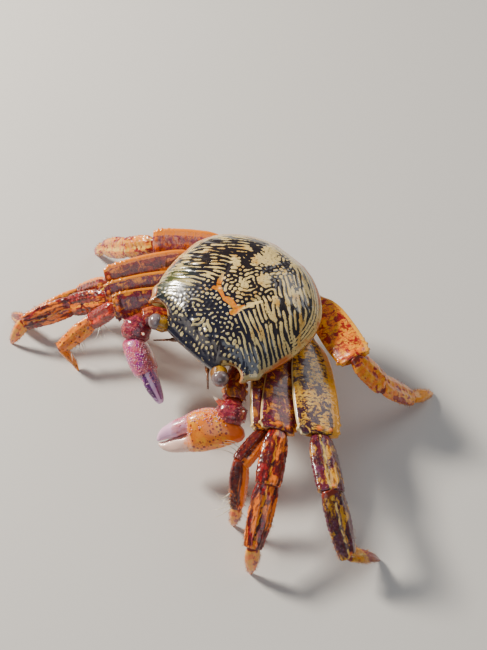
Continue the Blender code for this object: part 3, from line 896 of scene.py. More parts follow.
@dataclass
class Roots:
    """Places where bristles stand, with their direction and size."""

    name: str
    length: float
    radius: float
    bend: float
    clearance: float = 2.0 * MM
    points: list[Array] = field(default_factory=list)
    aims: list[Array] = field(default_factory=list)
    sizes: list[Array] = field(default_factory=list)

    SEED = 100
    SUNK = 0.04 * MM  # how far a root sits below the skin

    def sow(self, skin: Skin, weight: Array, count: int, lean: Vector, spread: float = 0.18,
            size: tuple[float, float] = (0.6, 1.2)) -> None:
        """Picks places on a skin by chance.

        Args:
            skin: The skin.
            weight: Chance of each of its points.
            count: How many places.
            lean: Added to the outward direction.
            spread: Unevenness of the direction.
            size: Least and greatest size.
        """
        rng = np.random.default_rng(self.SEED + len(self.points))
        weight = weight * (skin.points[..., 2] > self.clearance)
        chance = weight.ravel() / weight.sum()
        at = rng.choice(chance.size, count, replace=False, p=chance)
        outward = skin.normals().reshape(-1, 3)[at]
        aim = outward + np.array(lean) + rng.normal(scale=spread, size=(count, 3))
        self.aims.append(aim / np.linalg.norm(aim, axis=1, keepdims=True))
        self.points.append(skin.points.reshape(-1, 3)[at] - outward * self.SUNK)
        self.sizes.append(rng.uniform(size[0], size[1], count))

    def grow(self, material: bpy.types.Material) -> None:
        """Makes all bristles one piece."""
        spots = np.concatenate(self.points)
        mesh = bpy.data.meshes.new(self.name + "_roots")
        mesh.vertices.add(len(spots))
        mesh.vertices.foreach_set("co", spots.ravel())
        for label, kind, key, values in (("aim", "FLOAT_VECTOR", "vector", self.aims),
                                         ("size", "FLOAT", "value", self.sizes)):
            layer = mesh.attributes.new(label, kind, "POINT")
            layer.data.foreach_set(key, np.concatenate(values).astype(np.float32).ravel())
        piece = FieldTrees.run(FieldTrees.BRISTLES, linked(self.name + "_roots", mesh), self.name, {
            "Length": self.length, "Radius": self.radius, "Bend": self.bend, "Seed": 3, "Material": material})
        placed(piece, "leg_tip_shell")


# ---- figure of the back -------------------------------------------------------------------------
@dataclass(frozen=True)
class BackPattern:
    """Cream figure of the back, grown as coat patterns grow: near cells join, farther ones part.

    Two figures are grown, one of long lines for the flanks and one of small dots for the middle and
    the front, and laid over each other.
    """

    cells: int = 480
    half: float = 0.60
    line_spacing: float = 0.058
    dot_spacing: float = 0.0265
    turns: int = 9
    ways: int = 12
    seed: int = 11

    def plan(self) -> tuple[Array, Array]:
        """Body x and y of every cell."""
        axis = (np.arange(self.cells) + 0.5) / self.cells * 2.0 * self.half - self.half
        return np.meshgrid(axis, axis, indexing="ij")

    @staticmethod
    def reach(x: Array, y: Array) -> Array:
        """How far out a place lies: 0 in the middle, 1 at the rim."""
        power = RIM_POWER
        return (np.abs(x / HALF_WIDTH) ** power + np.abs(y / RIM_HALF_LENGTH) ** power) ** (1.0 / power)

    def flow(self, x: Array, y: Array) -> Array:
        """Angle of the lines: outwards and forwards on the flanks, along the rim near it."""
        side = np.sign(x + 1e-9)
        lean = 0.52 + 0.30 * ramp(-0.20, 0.25, y) + 0.06 * np.sin(9.0 * y + 2.0 * side)
        ribs = np.arctan2(-lean, side)
        normal_x = side * np.abs(x / HALF_WIDTH) ** (RIM_POWER - 1.0) / HALF_WIDTH
        normal_y = np.sign(y) * np.abs(y / RIM_HALF_LENGTH) ** (RIM_POWER - 1.0) / RIM_HALF_LENGTH
        tangent = np.arctan2(normal_x, -normal_y)
        near = ramp(0.78, 0.93, self.reach(x, y)) * ramp(-0.06, 0.16, y)
        return np.angle(np.exp(2j * ribs) * (1.0 - near) + np.exp(2j * tangent) * near) / 2.0

    def grow(self, spacing: float, angle: Array, drawn: Array, shift: Array, seed: int) -> Array:
        """Grows one figure.

        Args:
            spacing: Distance between neighbouring marks.
            angle: Direction of the lines in every cell.
            drawn: Share from 0, round dots, to 1, long lines.
            shift: Extra cream, or extra navy where it is less than nothing.
            seed: Seed of the first state.

        Returns:
            Figure from -1, navy, to 1, cream, over the plan.
        """
        step = 2.0 * self.half / self.cells
        freq = np.fft.fftfreq(self.cells, step)
        fx, fy = np.meshgrid(freq, freq, indexing="ij")

        def band(way: float) -> Array:
            """Kernel that joins cells along one direction."""
            across = -fx * math.sin(way) + fy * math.cos(way)
            along = (fx * math.cos(way) + fy * math.sin(way)) * 2.6
            ring = np.hypot(across, along) * spacing
            return np.exp(-((ring - 1.0) / 0.42) ** 2) * np.exp(-(along * spacing * 0.9) ** 2)

        ways = [math.pi * k / self.ways for k in range(self.ways)]
        kernels = [band(way) for way in ways] + [np.exp(-((np.hypot(fx, fy) * spacing - 1.0) / 0.50) ** 2)]
        shares = [np.clip(1.0 - np.abs((angle - way + math.pi / 2) % math.pi - math.pi / 2)
                          * self.ways / math.pi, 0.0, 1.0) * drawn for way in ways] + [1.0 - drawn]
        state = np.random.default_rng(seed).normal(size=angle.shape)
        for _ in range(self.turns):
            spectrum = np.fft.fft2(state)
            answer = sum(np.fft.ifft2(spectrum * kernel).real * share
                         for kernel, share in zip(kernels, shares))
            state = np.tanh(2.1 * answer / (answer.std() + 1e-9) + shift)
        blur = np.exp(-((fx ** 2 + fy ** 2) * (0.35 * spacing) ** 2) * 4.0)
        return np.fft.ifft2(np.fft.fft2(state) * blur).real

    def bias(self, x: Array, y: Array) -> Array:
        """Extra cream, or extra navy where it is less than nothing."""
        out = np.abs(x)
        value = -0.16 * ramp(-0.14, -0.24, y) * ramp(0.34, 0.18, out) - 0.10 * ramp(-0.22, -0.34, y)
        value += 0.45 * ramp(0.90, 0.98, self.reach(x, y)) * ramp(-0.24, 0.0, y)
        value += 1.5 * bell(np.hypot((x + 0.035) / 0.070, (y - 0.285) / 0.095))
        for x0, x1, y0, y1 in ((-0.105, -0.145, 0.15, 0.385), (0.030, 0.062, 0.16, 0.36)):
            t = np.clip((y - y0) / (y1 - y0), 0.0, 1.0)
            value -= 1.7 * bell(np.hypot(x - (x0 + (x1 - x0) * t), y - (y0 + (y1 - y0) * t)), 0.019)
        for lobe_x, lobe_y in Carapace.LOBES:
            value += 0.9 * bell(np.hypot((out - lobe_x) / 1.1, y - lobe_y - 0.004), 0.020)
        return value

    def figure(self) -> Array:
        """Both figures together.

        Returns:
            Figure from less than 0, navy, to more than 0, cream, over the plan.
        """
        x, y = self.plan()
        out = np.abs(x)
        angle, wander = self.flow(x, y), Ripple(7, 0.22)(np.stack([x, y, 0.0 * x], axis=-1))
        flank = ramp(0.12, 0.23, out + 0.03 * wander) * ramp(-0.34, -0.20, y)
        ones = np.ones_like(x)
        lines = self.grow(self.line_spacing, angle, ones, -0.62 * ones, self.seed)
        patchy = Ripple(8, 0.09)(np.stack([x, y, 0.0 * x], axis=-1))
        dots = self.grow(self.dot_spacing, angle, 0.62 * flank, -0.92 - 0.12 * wander, self.seed + 1)
        tracks = 0.9 * (lines - 0.34 - 0.20 * wander) + 0.20 * np.maximum(0.0, dots + 0.2)
        rows = dots - 0.14 + 0.26 * ramp(-0.2, -0.9, lines) + 0.30 * wander + 0.28 * patchy
        side = np.maximum(tracks, rows)
        middle = dots + 0.34 - 0.30 * ramp(0.04, -0.18, y) + 0.36 * patchy
        value = middle * (1.0 - flank) + side * flank
        right = 0.22 * ramp(-0.06, -0.18, x) * ramp(-0.25, -0.05, y)
        return value + self.bias(x, y) - right

    def read(self, grown: Array, x: Array, y: Array) -> Array:
        """Value of the grown figure at body positions, between its cells."""
        u, v = (np.clip((place + self.half) / (2 * self.half) * self.cells - 0.5, 0, self.cells - 1.001)
                for place in (x, y))
        i, j = u.astype(int), v.astype(int)
        s, t = u - i, v - j
        return ((grown[i, j] * (1 - s) + grown[i + 1, j] * s) * (1 - t)
                + (grown[i, j + 1] * (1 - s) + grown[i + 1, j + 1] * s) * t)


# ---- the body -----------------------------------------------------------------------------------
@dataclass
class Carapace:
    """Domed shell of the back with its front, orbits and teeth, and the wall that turns in below."""

    to_world: Matrix
    columns: int = 620
    dome_rows: int = 116
    wall_rows: int = 22

    LOBES = ((0.052, -0.350), (0.132, -0.335))

    @staticmethod
    def side_half_width(y: float) -> float:
        """Half width behind the outer eye tooth."""
        if y < WIDEST_Y:
            return HALF_WIDTH - 0.11 * ((WIDEST_Y - y) / 0.43) ** 2.2
        fall = min(1.0, (y - WIDEST_Y) / 0.45)
        return HALF_WIDTH * (1.0 - fall ** 2.3) ** 0.62

    def outline(self) -> Array:
        """Closed edge in plan, evenly spaced, with rounded teeth."""
        corner = FRONT_Y + 0.010
        half = [(f * FRONT_HALF, FRONT_Y + 0.010 * f * f) for f in np.linspace(0.0, 1.0, 12)]
        for f in np.linspace(0.06, 0.94, 18):
            x = FRONT_HALF + f * (TOOTH_X - FRONT_HALF)
            y = corner + f * (TOOTH_Y - corner) + ORBIT_DEPTH * math.sin(math.pi * f) ** 0.7
            half.append((x, y))
        half += [(TOOTH_X, TOOTH_Y - 0.006), (TOOTH_X + 0.018, TOOTH_Y + 0.045)]
        half += [(self.side_half_width(-0.31) + 0.014, -0.322), (self.side_half_width(-0.27) - 0.004, -0.272)]
        half += [(self.side_half_width(y), y) for y in np.linspace(-0.24, 0.43, 60)]
        half += [(0.12, REAR_Y), (0.06, REAR_Y + 0.001), (0.0, REAR_Y + 0.001)]
        ring = np.array(half + [(-x, y) for x, y in half[-2:0:-1]])
        closed = np.vstack([ring, ring[:1]])
        length = np.concatenate([[0], np.cumsum(np.hypot(*np.diff(closed, axis=0).T))])
        at = np.linspace(0.0, length[-1], self.columns, endpoint=False)
        edge = np.stack([np.interp(at, length, closed[:, k]) for k in (0, 1)], axis=1)
        for _ in range(3):
            edge = (np.roll(edge, 1, 0) + 2.0 * edge + np.roll(edge, -1, 0)) / 4.0
        return edge

    @staticmethod
    def edge_height(x: Array, y: Array) -> Array:
        """Height of the edge: the front hangs down, the rear falls a little."""
        front = np.clip((-0.36 - y) / 0.09, 0, 1) * np.clip((0.26 - np.abs(x)) / 0.06, 0, 1)
        rear = np.clip((y - 0.10) / 0.35, 0, 1)
        return -0.050 * front - 0.030 * rear

    @staticmethod
    def smoothed(edge: Array) -> Array:
        """The edge without notches and teeth, for the rings inside it."""
        x, y = edge[:, 0], edge[:, 1]
        even = -0.46 * (1.0 - np.minimum(1.0, np.abs(x) / 0.5) ** 2.6) ** (1.0 / 2.6)
        share = ramp(-0.20, -0.32, y)
        return np.stack([x, y * (1 - share) + even * share], axis=1)

    def orbit(self, x: Array, y: Array) -> Array:
        """1 over the notch that holds the eye."""
        return bell(np.abs(x) - 0.29, 0.075) ** 2 * ramp(-0.30, -0.36, y)

    def surface(self) -> tuple[Array, Array]:
        """Body-frame points of the shell and the share of each row from the top, 0, to the edge, 1."""
        edge = self.outline()
        even = self.smoothed(edge)
        drop_edge = self.edge_height(edge[:, 0], edge[:, 1])
        rows, reach = [], []
        for r in np.linspace(0.0, 1.0, self.dome_rows + 1)[1:] ** 0.86:
            share = r ** 14
            plan = (even * (1 - share) + edge * share)
            x, y = plan[:, 0] * r, CENTRE_Y + (plan[:, 1] - CENTRE_Y) * r
            rise = DOME_HEIGHT * max(0.0, 1.0 - r ** 2.3) ** 0.62
            rows.append(np.stack([x, y, rise + drop_edge * r ** 5], axis=1))
            reach.append(r)
        at = np.linspace(0.0, 1.0, self.wall_rows + 1)[1:]
        scales = eased((0, 0.16, 0.55, 0.85, 1.0), (1.0, 0.975, 0.82, 0.62, 0.30), at)
        drops = eased((0, 0.16, 0.55, 0.85, 1.0), (0.0, 0.22, 0.72, 1.0, 1.0), at)
        for t, scale, drop in zip(at, scales, drops):
            pocket = self.orbit(edge[:, 0], edge[:, 1]) * math.sin(math.pi * min(1.0, t / 0.52)) * 0.10
            x = edge[:, 0] * scale
            y = CENTRE_Y + (edge[:, 1] - CENTRE_Y) * scale + pocket
            rows.append(np.stack([x, y, drop_edge * (1 - drop) + FLOOR_Z * drop], axis=1))
            reach.append(1.0 + t)
        return np.array(rows), np.array(reach)

    def relief(self, x: Array, y: Array, reach: Array, figure: Array) -> Array:
        """Height of the shell's regions, lobes, furrows and fine ribs, in body units."""
        out = np.abs(x)
        top = ramp(1.0, 0.9, reach)
        height = 0.007 * bell(np.hypot(x / 0.17, (y + 0.20) / 0.13))
        height += 0.006 * bell(np.hypot((out - 0.29) / 0.15, (y - 0.06) / 0.22))
        height += 0.005 * bell(np.hypot(x / 0.10, (y - 0.12) / 0.13))
        furrow = out - (0.09 + 0.5 * np.maximum(0.0, y + 0.12) ** 1.1)
        groove = bell(furrow, 0.020) * ramp(-0.20, -0.10, y) * ramp(0.22, 0.05, y)
        groove = np.maximum(groove, bell(y + 0.118, 0.016) * ramp(0.11, 0.085, out))
        height -= 0.0065 * groove
        for lobe_x, lobe_y in self.LOBES:
            height += 0.018 * bell(np.hypot((out - lobe_x) / 0.040, (y - lobe_y) / 0.030))
        height -= 0.012 * bell(np.hypot(x / 0.19, (y + 0.415) / 0.040))
        ribs = np.sin((y + 0.20 * out) * 2.0 * math.pi / 0.058)
        ribs = ribs * ramp(0.22, 0.34, out) * ramp(-0.30, -0.2, y) * ramp(0.3, 0.2, y)
        height += 0.0014 * ribs * top
        height += 0.0010 * figure * top
        return height

    def build(self, pattern: BackPattern) -> None:
        """Makes the shell.

        Args:
            pattern: Grows the cream figure.
        """
        body, reach = self.surface()
        grown = pattern.figure()
        x, y = body[..., 0], body[..., 1]
        span = np.broadcast_to(reach[:, None], x.shape)
        figure = pattern.read(grown, x, y)
        rim = ramp(0.93, 0.975, span) * ramp(1.12, 1.0, span)
        lines = 0.45 + 0.9 * np.sin(span * 2.0 * math.pi / 0.034 + 1.2 * Ripple(9, 0.2)(body))
        rim_lines = ramp(0.85, 0.92, span) * ramp(-0.12, 0.08, y)
        figure = figure * (1 - 0.85 * rim_lines) + 0.85 * rim_lines * lines
        # Painted shade: the front margin between the orbits is dark instead of cream, its rim mark is taken
        # off, and the pale underside starts lower there.
        shaded_brow = ramp(-0.30, -0.37, y) * ramp(0.27, 0.21, np.abs(x))
        figure = np.where(span > 0.972, 1.0 - 1.35 * shaded_brow, figure) + 0.25 * shaded_brow * Ripple(10, 0.03)(body)
        rim = rim * (1.0 - shaded_brow)
        mark, orange = self.mark(x, y)
        mark = mark * (span < 1.0)
        skin = Skin(standing(self.to_world, body), {
            "cream": figure, "mark": mark, "orange": orange, "rim": rim,
            "front": ramp(0.0, -0.28, y) * ramp(1.1, 1.0, span),
            "socket": self.orbit(x, y) * ramp(1.005, 1.05, span) * ramp(1.6, 1.4, span),
            "moss": bell(np.hypot((x + 0.36) / 0.08, (y + 0.22) / 0.10)) * (span < 1.0),
            "belly": ramp(1.18 + 0.14 * shaded_brow, 1.42 + 0.14 * shaded_brow, span)})
        height = self.relief(x, y, span, figure)
        height += 0.010 * bell(span - 1.0, 0.020)
        height += 0.0016 * Ripple(3, 0.05)(body) * ramp(1.05, 1.2, span)
        skin.lift(height * CARAPACE_WIDTH)
        placed(skin.build("carapace_shell", BackFinish().build()), "carapace_shell", "carapace")

    @staticmethod
    def mark(x: Array, y: Array) -> tuple[Array, Array]:
        """Mark in the middle of the back: a bar and two arms that run back.

        Args:
            x: Body x.
            y: Body y.

        Returns:
            Strength of the mark, and how orange rather than cream it is.
        """
        wander = 0.0035 * np.sin(70.0 * x + 3.0) + 0.0035 * np.sin(84.0 * y + 40.0 * x)
        strokes = (((-0.088, -0.112), (0.0, -0.128), 0.019), ((0.0, -0.128), (0.094, -0.128), 0.021),
                   ((-0.080, -0.112), (-0.142, -0.020), 0.016), ((0.094, -0.130), (0.150, -0.010), 0.016),
                   ((0.094, -0.128), (0.092, -0.168), 0.020), ((-0.088, -0.112), (-0.108, -0.120), 0.017))
        strength = np.zeros_like(x)
        for (x0, y0), (x1, y1), wide in strokes:
            run = np.array((x1 - x0, y1 - y0))
            t = np.clip(((x - x0) * run[0] + (y - y0) * run[1]) / (run @ run), 0.0, 1.0)
            far = np.hypot(x - x0 - run[0] * t + wander, y - y0 - run[1] * t + wander)
            strength = np.maximum(strength, bell(far, wide * (1.0 - 0.25 * t)))
        orange = 1.0 - ramp(0.100, 0.118, x) - 0.7 * ramp(-0.070, -0.040, y) * (x < 0.0)
        return strength, np.clip(orange, 0.0, 1.0)


@dataclass
class LoftRow:
    """One row of a limb's outline, metres from its start."""

    at: float
    wide: float
    thick: float
    off_wide: float = 0.0
    off_thick: float = 0.0


def loft(length: float, wide: float, thick: float, *table: Sequence[float]) -> list[LoftRow]:
    """Rows of a limb from a table in shares.

    Args:
        length: Length that the first share is of.
        wide: Half width that the third value is a share of.
        thick: Half thickness that the fourth value is a share of.
        table: Share of the length, millimetres past it, width, thickness, and the sideways
            offset as a share of the half width where there is one.

    Returns:
        The rows.
    """
    return [LoftRow(share * length + past * MM, w * wide, t * thick, *(o * wide for o in offset))
            for share, past, w, t, *offset in table]


@dataclass
class Limb:
    """A limb plate on a straight axis, finely lofted from the same rows as its solid."""

    start: Vector
    end: Vector
    rows: list[LoftRow]
    roll: float = 0.0
    hint: Optional[tuple] = None
    power: float = 2.4
    columns: int = 72
    spacing: float = 0.27 * MM
    front_sign: float = 1.0
    floor: Optional[float] = None
    tail: tuple = ((0.22, 0.93), (0.26, 0.82), (-0.3, 0.70), (-1.0, 0.56))
    made: Optional[Skin] = None
    relief: Optional[Callable[[dict[str, Array]], Array]] = None

    @property
    def length(self) -> float:
        """Length of the axis."""
        return (self.end - self.start).length

    def frame(self) -> tuple[Vector, Vector, Vector]:
        """Axis, broad direction and face direction."""
        axis = (self.end - self.start).normalized()
        up = Vector(self.hint) if self.hint else Vector((0.0, 0.0, 1.0))
        if abs(axis.dot(up.normalized())) > 0.97:
            up = Vector((0.0, -1.0, 0.3))
        wide = axis.cross(up).normalized()
        face = wide.cross(axis).normalized()
        turn = Matrix.Rotation(math.radians(self.roll), 3, axis)
        return axis, turn @ wide, turn @ face

    def skin(self) -> Skin:
        """Finely sampled surface with its channels."""
        axis, wide, face = (np.array(v) for v in self.frame())
        knots = [row.at for row in self.rows]
        count = max(16, int((knots[-1] - knots[0]) / self.spacing))
        at = np.linspace(knots[0], knots[-1], count)
        values = {key: eased(knots, [getattr(row, key) for row in self.rows], at)
                  for key in ("wide", "thick", "off_wide", "off_thick")}
        scale = np.ones_like(at)
        for step, share in self.tail:
            at = np.append(at, knots[-1] + step * MM)
            scale = np.append(scale, share)
            values = {key: np.append(v, v[-1]) for key, v in values.items()}
        turn = 2.0 * math.pi * (np.arange(self.columns) + 0.5) / self.columns
        c, s = np.cos(turn)[None, :], np.sin(turn)[None, :]
        u = signed_power(c, 2.0 / self.power) * np.ones((len(at), 1))
        v = signed_power(s, 2.0 / self.power) * np.ones((len(at), 1))
        along = np.clip(at / self.length, 0.0, 1.0)[:, None] * np.ones_like(u)
        info = {"u": u, "v": v, "along": along, "at": at[:, None] * np.ones_like(u),
                "wide": values["wide"][:, None] * np.ones_like(u), "turn": turn[None, :] * np.ones_like(u),
                "length": self.length}
        across = u * (values["wide"] * scale)[:, None] + values["off_wide"][:, None]
        deep = v * (values["thick"] * scale)[:, None] + values["off_thick"][:, None]
        points = (np.array(self.start) + at[:, None, None] * axis
                  + across[..., None] * wide + deep[..., None] * face)
        skin = Skin(points, {
            "front": u * self.front_sign, "top": v, "along": along,
            "skin": np.stack([info["at"] / MM, across / MM, deep / MM], axis=-1),
            "knob": np.zeros_like(u)})
        info["front"] = skin.channels["front"]
        info["points"] = points
        if self.relief is not None:
            body = (at <= knots[-1] + 1e-9)[:, None]
            skin.lift(self.relief(info) * body)
            for label in ("knob", "grain"):
                if label in info:
                    skin.channels[label] = info[label]
        if self.floor is not None:
            skin.points[..., 2] = np.maximum(skin.points[..., 2], self.floor)
        return skin

    def build(self, name: str, material: bpy.types.Material) -> bpy.types.Object:
        """Makes the plate's object."""
        self.made = self.skin()
        return self.made.build(name, material)


def boss(info: dict[str, Array], back: float, reach: float, across: float, breadth: float) -> Array:
    """Round boss on the upper face of a plate, near its far end.

    Args:
        info: Values of the plate.
        back: Millimetres from the far end.
        reach: Its size along the plate in millimetres.
        across: Place across the plate, -1 rear to 1 front.
        breadth: Its size across the plate in millimetres.

    Returns:
        Its height at each point, 0 to 1.
    """
    along = (info["at"] / MM - info["length"] / MM + back) / reach
    return bell(np.hypot(along, (info["front"] - across) * info["wide"] / MM / breadth)) * (info["v"] > 0)


# ---- walking legs -------------------------------------------------------------------------------
@dataclass
class Coat:
    """Bristles of the whole animal: stubble of the leg tips, long setae and hairs of the mouth."""

    stubble: Roots = field(default_factory=lambda: Roots("leg_stubble", 0.75 * MM, 0.045 * MM, 0.35))
    setae: Roots = field(default_factory=lambda: Roots("leg_setae", 5.6 * MM, 0.15 * MM, 0.45))
    hairs: Roots = field(default_factory=lambda: Roots("mouth_hairs", 1.1 * MM, 0.045 * MM, 0.30))

    def build(self, finishes: dict[str, bpy.types.Material]) -> None:
        """Makes the three pieces."""
        self.stubble.grow(finishes["stubble"])
        self.setae.grow(finishes["setae"])
        self.hairs.grow(finishes["setae"])


@dataclass(frozen=True)
class LegPaint:
    """Finishes of the plates of one leg."""

    merus: LimbFinish
    carpus: LimbFinish
    propodus: LimbFinish
    dactyl: LimbFinish

    def of(self, plate: Plate) -> LimbFinish:
        """Finish of one plate."""
        return getattr(self, plate.value)


def leg_paints() -> dict[tuple[Side, int], LegPaint]:
    """Finishes of all eight legs: the left fourth is ochre with purple, the fifths orange, the
    others maroon with orange undersides."""
    ochre, purple, dusk_tone = tone(208, 158, 86), tone(50, 18, 34), tone(92, 46, 66)
    orange, rust, gold = tone(232, 140, 34), tone(136, 36, 20), tone(240, 172, 60)
    maroon, amber = tone(86, 22, 18), tone(228, 134, 30)
    cream, plum = tone(230, 196, 130), tone(108, 40, 56)
    broad = LimbFinish("ochre_merus", ochre, purple, purple, second=tone(216, 178, 116), patch_cover=0.40,
                       patch_scale=0.34, stripe_share=0.15, bars=0.95, net=0.8, edge_width=0.05,
                       rear_width=0.40, rear_wear=0.05, rear=tone(216, 160, 76), edge=tone(240, 222, 180),
                       seed=3.0)
    fourth_out = LimbFinish("purple_carpus", purple, ochre, maroon, second=dusk_tone, patch_cover=0.40,
                            patch_scale=0.34, patch_stretch=1.9, pale_width=0.14, pale_at=0.20, pale=cream,
                            stripe_share=0.75, stripe_count=5.0, net=0.5)
    fourth_tip = replace(fourth_out, name="ochre_dactyl", ground=tone(214, 150, 62), second=ochre, patch=rust,
                         patch_cover=0.30, tip=tone(132, 52, 22), tip_start=0.45, stripe_share=0.2)
    left_four = LegPaint(broad, fourth_out, replace(fourth_out, name="purple_propodus", patch_cover=0.36,
                                                    seed=11.0), fourth_tip)
    blaze = LimbFinish("orange_merus", orange, rust, rust, second=gold, patch_cover=0.40, patch_scale=0.42,
                       stripe_share=0.15, bars=0.6, net=0.6, rear_width=0.22, rear=tone(246, 178, 52),
                       edge_width=0.03, edge=tone(246, 176, 80))
    blaze_out = replace(blaze, name="orange_carpus", patch_cover=0.36, bars=0.1, patch_stretch=1.5,
                        net=0.3, edge_width=0.0, rear_width=0.0, seed=5.0)
    blaze_tip = replace(blaze_out, name="orange_dactyl", ground=tone(242, 164, 60), patch_cover=0.26)
    left_five = LegPaint(blaze, blaze_out, replace(blaze_out, name="orange_propodus", seed=9.0), blaze_tip)
    dusk = LimbFinish("maroon_merus", maroon, tone(206, 140, 74), purple, second=plum, patch_cover=0.40,
                      patch_scale=0.40, stripe_share=0.3, bars=0.6, net=0.5, edge_width=0.04, rear_width=0.10)
    dusk_out = LimbFinish("maroon_carpus", maroon, amber, tone(46, 12, 22), second=tone(136, 36, 22),
                          patch_cover=0.40, patch_scale=0.40, patch_stretch=3.2, pale_width=0.10, pale_at=0.1,
                          pale=tone(232, 160, 92), stripe_count=5.0, stripe_share=0.75)
    dusk_prop = replace(dusk_out, name="maroon_propodus", patch_cover=0.50, seed=7.0)
    dusk_tip = LimbFinish("amber_dactyl", tone(232, 132, 16), rust, rust, second=gold, patch_cover=0.28,
                          patch_scale=0.5, stripe_share=0.2, pale_width=0.0, patch_stretch=2.0)
    left_three = LegPaint(dusk, dusk_out, dusk_prop, dusk_tip)
    second_out = replace(dusk_out, name="brown_carpus", ground=tone(96, 38, 28), second=maroon,
                         rear_width=0.95, rear=tone(228, 138, 28), pale_width=0.0, patch_cover=0.22)
    left_two = LegPaint(replace(dusk, name="brown_merus"), second_out,
                        replace(second_out, name="brown_propodus", seed=4.0),
                        replace(dusk_tip, name="rust_dactyl", ground=tone(210, 112, 22)))
    rose = LimbFinish("rose_merus", tone(204, 150, 132), tone(226, 138, 52), plum, second=tone(150, 92, 112),
                      patch_cover=0.40, patch_scale=0.45, stripe_share=0.5, bars=0.55, net=0.6,
                      edge_width=0.08, rear_width=0.34, rear=tone(238, 150, 36), edge=tone(238, 200, 150))
    leaf = LimbFinish("leaf_carpus", tone(230, 148, 58), rust, plum, second=tone(222, 166, 92),
                      patch_cover=0.38, patch_scale=0.45, patch_stretch=2.0, pale_width=0.2, stripe_share=0.4)
    right_five = LegPaint(rose, leaf, replace(leaf, name="leaf_propodus", seed=6.0),
                          replace(leaf, name="leaf_dactyl", tip=tone(176, 60, 24), tip_start=0.5))
    brick = LimbFinish("brick_merus", tone(150, 70, 40), tone(216, 138, 56), tone(66, 18, 20),
                       second=tone(112, 40, 40), patch_cover=0.36, patch_scale=0.40, patch_stretch=1.6,
                       stripe_share=0.6, bars=0.5, net=0.4, edge_width=0.06, rear_width=0.16,
                       rear=tone(232, 146, 40))
    brick_out = replace(brick, name="brick_carpus", ground=tone(138, 48, 30), patch=tone(214, 150, 80),
                        patch_stretch=3.4, patch_cover=0.40, stripe_count=5.0, stripe_width=0.45,
                        stripe_share=0.85, edge_width=0.0, pale_width=0.1, pale_at=0.2, bars=0.0)
    right_four = LegPaint(brick, brick_out, replace(brick_out, name="brick_propodus", seed=8.0),
                          replace(brick_out, name="brick_dactyl", ground=tone(160, 60, 34), patch_cover=0.3))
    # The wide pink-cream front edge of the right third merus is partly its pale rim and partly a painted
    # highlight.
    right_three = LegPaint(replace(dusk, name="wine_merus", ground=tone(120, 34, 32), edge_width=0.08,
                                   edge=tone(232, 170, 130)), replace(dusk_out, name="wine_carpus"),
                           replace(dusk_prop, name="wine_propodus"), replace(dusk_tip, name="wine_dactyl"))
    flame = LimbFinish("flame_propodus", tone(236, 142, 14), tone(244, 164, 34), rust, patch_cover=0.4,
                       stripe_share=0.1, dot_share=0.85, dot=tone(96, 26, 6), rear_width=0.0, speck=0.1)
    right_two = LegPaint(replace(dusk, name="red_merus", ground=tone(116, 26, 22)),
                         LimbFinish("red_carpus", tone(130, 24, 14), tone(206, 84, 22), maroon,
                                    patch_cover=0.35, patch_stretch=2.5, stripe_share=0.5, stripe_count=3.0),
                         flame, replace(flame, name="flame_dactyl", ground=tone(232, 146, 34)))
    return {(Side.LEFT, 2): left_two, (Side.LEFT, 3): left_three, (Side.LEFT, 4): left_four,
            (Side.LEFT, 5): left_five, (Side.RIGHT, 2): right_two, (Side.RIGHT, 3): right_three,
            (Side.RIGHT, 4): right_four, (Side.RIGHT, 5): right_five}


